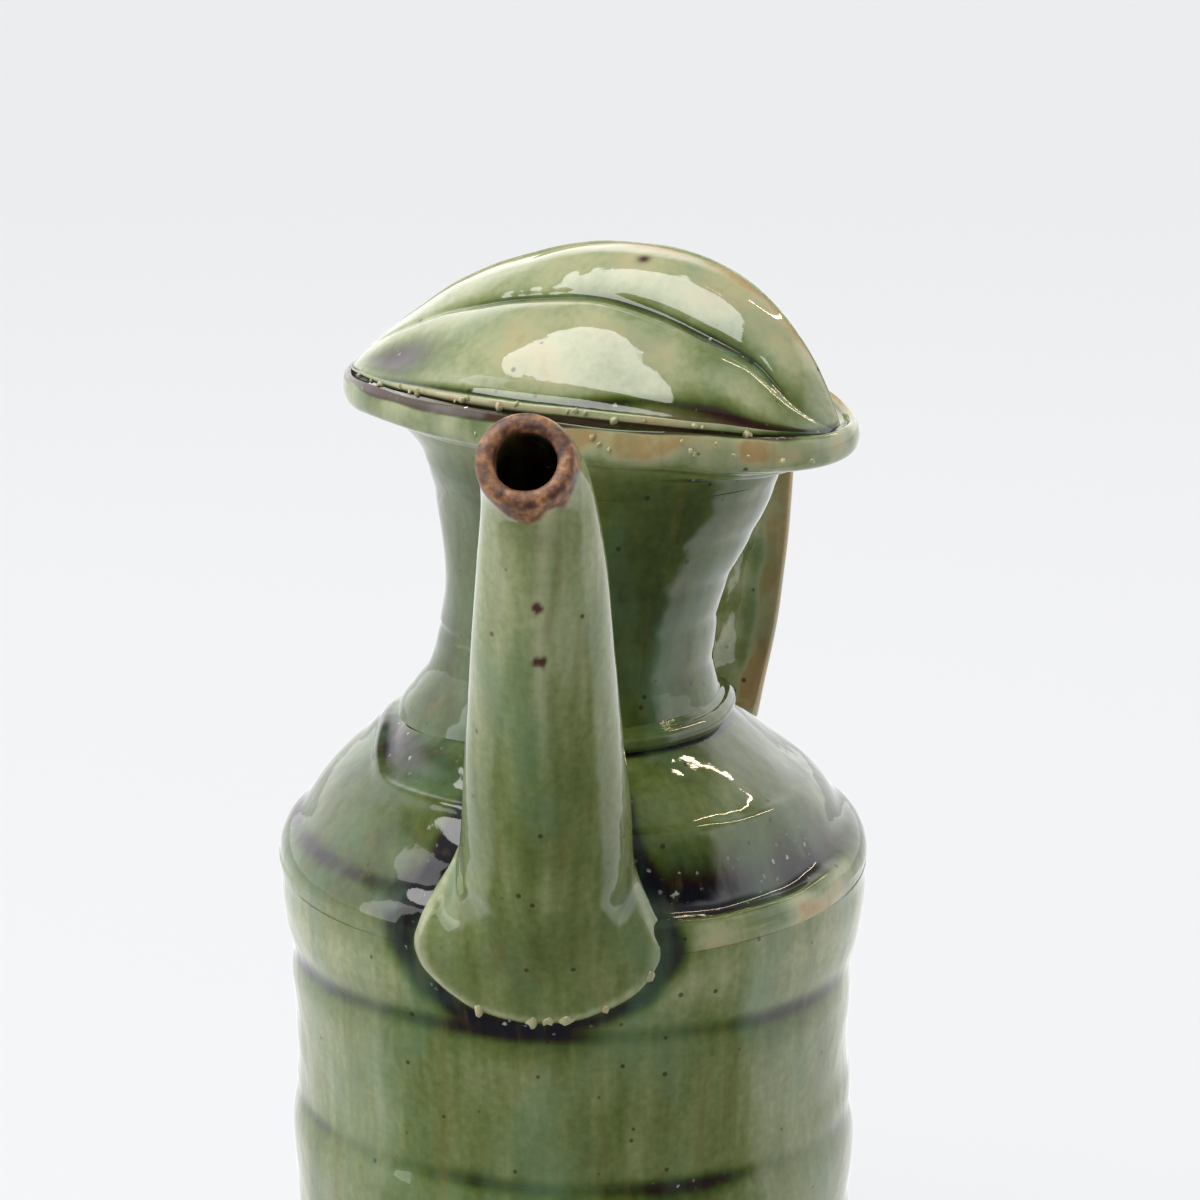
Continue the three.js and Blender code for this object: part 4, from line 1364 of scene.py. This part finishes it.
# %% The glaze material
def glaze(name, runs, blue):
    """Celadon over stoneware. runs and blue are how strongly the glaze streaks and how much
    blue-green milk floats in it."""
    material, tree = empty_material(name)
    depth, iron, bare = (attribute(tree, a) for a in ("depth", "iron", "bare"))
    streaks = noise(tree, 4.2, stretch=7, seed=1.3)
    drift = noise(tree, 17, stretch=1.6, seed=2.1)
    curds = noise(tree, 1.3, seed=3.7)
    threads = noise(tree, 1.5, stretch=9, seed=7.1)
    deep = depth
    for value, strength in (
        (streaks, runs), (drift, 0.2 + runs * 0.4), (curds, 0.18), (threads, runs * 0.4),
    ):
        centred = maths(tree, "SUBTRACT", value, 0.5)
        deep = maths(tree, "ADD", deep, times(tree, centred, strength))
    colour = ramp(tree, deep, [
        (0.0, "#AD9060"), (0.06, "#B4AA82"), (0.18, "#A3A984"), (0.32, "#7A8452"), (0.48, "#56642E"),
        (0.62, "#3F4C1F"), (0.74, "#2C3614"), (0.84, "#2B1D12"), (0.92, "#1E1412"), (1.0, "#10121C"),
    ])
    milk = stepped(tree, noise(tree, 9, stretch=2.5, seed=5.2), 0.46, 0.7)
    colour = mixed(tree, times(tree, milk, blue), colour, "#5E8064")
    ochre = stepped(tree, noise(tree, 3, stretch=11, seed=6.4), 0.56, 0.72)
    colour = mixed(tree, times(tree, ochre, runs * 1.1), colour, "#6E6231")
    specks = stepped(tree, dots(tree, 5.2, seed=0.7), 0.1, 0.055)
    colour = mixed(tree, times(tree, specks, 0.75), colour, "#2B2018")
    ragged = maths(tree, "ADD", dots(tree, 1.9, seed=1.9), times(tree, noise(tree, 0.45, seed=2.9), 0.5))
    ash = stepped(tree, ragged, 0.45, 0.36)
    ashy = times(tree, stepped(tree, noise(tree, 6, seed=8.8), 0.46, 0.6),
                 stepped(tree, depth, 0.55, 0.9))
    colour = mixed(tree, times(tree, ash, ashy), colour, "#9CA8A6")
    colour = mixed(tree, iron, colour, "#4B3026")
    clay = ramp(tree, noise(tree, 1.5, seed=4.4), [
        (0.3, "#3C2A26"), (0.45, "#6B4430"), (0.6, "#96663F"), (0.75, "#B98D66")])
    colour = mixed(tree, bare, colour, clay)
    rough = maths(tree, "ADD", 0.04, times(tree, bare, 0.45))
    rough = maths(tree, "ADD", rough, times(tree, iron, 0.15))
    ripple = maths(tree, "ADD", noise(tree, 5, seed=9.1, detail=1.0), times(tree, curds, 0.08))
    ripple = maths(tree, "ADD", ripple, times(tree, bare, times(tree, noise(tree, 0.7, seed=7.7), 0.6)))
    relief = add_node(tree, "ShaderNodeBump", {"Strength": 0.3, "Distance": 0.5 * MM}, {
        "Height": ripple})
    finish_material(tree, {"IOR": 1.54}, {
        "Base Color": colour, "Roughness": rough, "Normal": relief.outputs[0]})
    return material


celadon = glaze("celadon_glaze", runs=0.28, blue=0.35)
pale_celadon = glaze("pale_celadon_glaze", runs=0.16, blue=0.25)
dark_celadon = glaze("dark_celadon_glaze", runs=0.22, blue=0.3)
print("glazes:", celadon.name, pale_celadon.name, dark_celadon.name)

# %% [markdown]
# ## Bare stoneware
#
# The foot has no glaze. Fired stoneware is matt and slightly sandy, and flames toast it from
# buff to rust. Voronoi dots are the iron in the clay, and a fine noise is its grog.

# %% Bare clay material
def bare_clay(name):
    """Toasted stoneware, matt and speckled."""
    material, tree = empty_material(name)
    colour = ramp(tree, noise(tree, 14, seed=0.4), [
        (0.3, "#8A5F41"), (0.5, "#A67C57"), (0.7, "#BF9E78")])
    specks = stepped(tree, dots(tree, 2.4, seed=0.3), 0.16, 0.09)
    colour = mixed(tree, times(tree, specks, 0.8), colour, "#4A3325")
    relief = add_node(tree, "ShaderNodeBump", {"Strength": 0.5, "Distance": 0.3 * MM},
                      {"Height": noise(tree, 0.6, seed=2.2)})
    finish_material(tree, {"Roughness": 0.8}, {
        "Base Color": colour, "Normal": relief.outputs[0]})
    return material


stoneware = bare_clay("bare_stoneware")
print("the foot is", stoneware.name)

# %% Every piece takes its place in the frame
for piece, node, slot, material in (
    (foot, "foot", "bare_stoneware", stoneware),
    (body_wall, "body_wall", "celadon_glaze", celadon),
    (shoulder, "shoulder", "dark_celadon_glaze", dark_celadon),
    (neck_collar, "neck_collar", "dark_celadon_glaze", dark_celadon),
    (neck, "neck", "celadon_glaze", celadon),
    (mouth_flange, "mouth_flange", "pale_celadon_glaze", pale_celadon),
    (hood, "hood", "pale_celadon_glaze", pale_celadon),
    (spout, "spout", "celadon_glaze", celadon),
    (handle, "handle", "celadon_glaze", celadon),
):
    piece.data.materials.clear()
    piece.data.materials.append(material)
    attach(piece, "root")
    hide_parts(node)
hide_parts("spout", "spout_root")  # one clay, made of both
for piece in (seam_crumbs, edge_crumbs, lip_crumbs):
    piece.data.materials.clear()
    piece.data.materials.append(pale_celadon)
    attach(piece, "root")

# %% [markdown]
# ## Floor, sky and lamps
#
# The pot stands on a wide pale floor in a pale room. A glaze is mostly judged by what it mirrors,
# so the room is bright behind and beside the pot, which draws white lines down its sides, and
# darker behind the camera, which leaves the front of the neck deep green. A softbox overhead
# makes the two pale ovals on the hood.

# %% Floor
FLOOR_HALF = 9.0  # metres
FLOOR_Z = -0.2 * MM  # a hair under the foot
floor_mesh = bpy.data.meshes.new("floor")
floor_corners = [(x * FLOOR_HALF, y * FLOOR_HALF, FLOOR_Z) for x, y in ((-1, -1), (1, -1), (1, 1), (-1, 1))]
floor_mesh.from_pydata(floor_corners, [], [(0, 1, 2, 3)])
floor = bpy.data.objects.new("floor", floor_mesh)
bpy.context.collection.objects.link(floor)
paper = bpy.data.materials.new("pale_paper")
paper.use_nodes = True
paper_shader = paper.node_tree.nodes["Principled BSDF"]
paper_shader.inputs["Base Color"].default_value = linear("#6C6D6F")
paper_shader.inputs["Roughness"].default_value = 0.9
paper_shader.inputs["Emission Color"].default_value = linear("#ECEDEF")
sheet = paper.node_tree
mirrored = add_node(sheet, "ShaderNodeLightPath").outputs["Is Glossy Ray"]
where = add_node(sheet, "ShaderNodeTexCoord").outputs["Object"]
towards = add_node(sheet, "ShaderNodeVectorMath", {"operation": "NORMALIZE"}, {0: where})
in_front = add_node(sheet, "ShaderNodeVectorMath", {"operation": "DOT_PRODUCT"}, {0: towards.outputs[0]})
in_front.inputs[1].default_value = (0.08, -1, 0)
shaded = times(sheet, stepped(sheet, in_front.outputs["Value"], 0.2, 0.45), mirrored)
glow = maths(sheet, "SUBTRACT", 0.82, times(sheet, shaded, 1.25))
glow = maths(sheet, "ADD", glow, times(sheet, mirrored, 0.35))
sheet.links.new(glow, paper_shader.inputs["Emission Strength"])
floor_mesh.materials.append(paper)
print("the floor is", 2 * FLOOR_HALF, "m wide")

# %% Room
world = bpy.data.worlds.new("pale room")
bpy.context.scene.world = world
world.use_nodes = True
sky = world.node_tree
sky.nodes.clear()
direction = add_node(sky, "ShaderNodeTexCoord").outputs["Generated"]
facing = add_node(sky, "ShaderNodeVectorMath", {"operation": "DOT_PRODUCT"}, {0: direction})
facing.inputs[1].default_value = (0.05, -0.97, 0.1)
behind_camera = stepped(sky, facing.outputs["Value"], 0.18, 0.38)
room = mixed(sky, behind_camera, "#FFFFFF", "#262724")
height = add_node(sky, "ShaderNodeSeparateXYZ", links={0: direction}).outputs["Z"]
room = mixed(sky, stepped(sky, height, 0.5, 0.75), room, "#737472")
seen = add_node(sky, "ShaderNodeLightPath").outputs["Is Camera Ray"]
room = mixed(sky, seen, room, "#ECEDEF")
mirror = add_node(sky, "ShaderNodeLightPath").outputs["Is Glossy Ray"]
bright = maths(sky, "SUBTRACT", 1.35, times(sky, seen, 0.35))
bright = maths(sky, "ADD", bright, times(sky, mirror, 0.45))
air = add_node(sky, "ShaderNodeBackground", links={"Color": room, "Strength": bright})
add_node(sky, "ShaderNodeOutputWorld", links={"Surface": air.outputs[0]})
print("the room has", len(sky.nodes), "nodes")


# %% Lamps
def softbox(name, place, width, height, watts, colour="#FFFFFF", shape="RECTANGLE"):
    """An area lamp in metres that looks at the neck of the pot."""
    lamp = bpy.data.lights.new(name, "AREA")
    lamp.shape, lamp.size, lamp.size_y = shape, width, height
    lamp.energy = watts
    lamp.color = linear(colour)[:3]
    holder = bpy.data.objects.new(name, lamp)
    holder.location = place
    holder.rotation_euler = (Vector(place) - Vector((0, 0, 0.15))).to_track_quat("Z", "Y").to_euler()
    holder.visible_camera = False
    bpy.context.collection.objects.link(holder)


softbox("softbox_over", (-0.38, -0.32, 1.2), 1.2, 0.76, 13.5, shape="ELLIPSE")
softbox("softbox_left", (-1.3, -0.5, 0.6), 0.5, 1.2, 4)
softbox("strip_right", (0.72, 0.6, 1.2), 0.035, 0.8, 3.2, colour="#FFE3C2")

scene = bpy.context.scene
scene.view_settings.view_transform = "Standard"
scene.view_settings.look = "None"
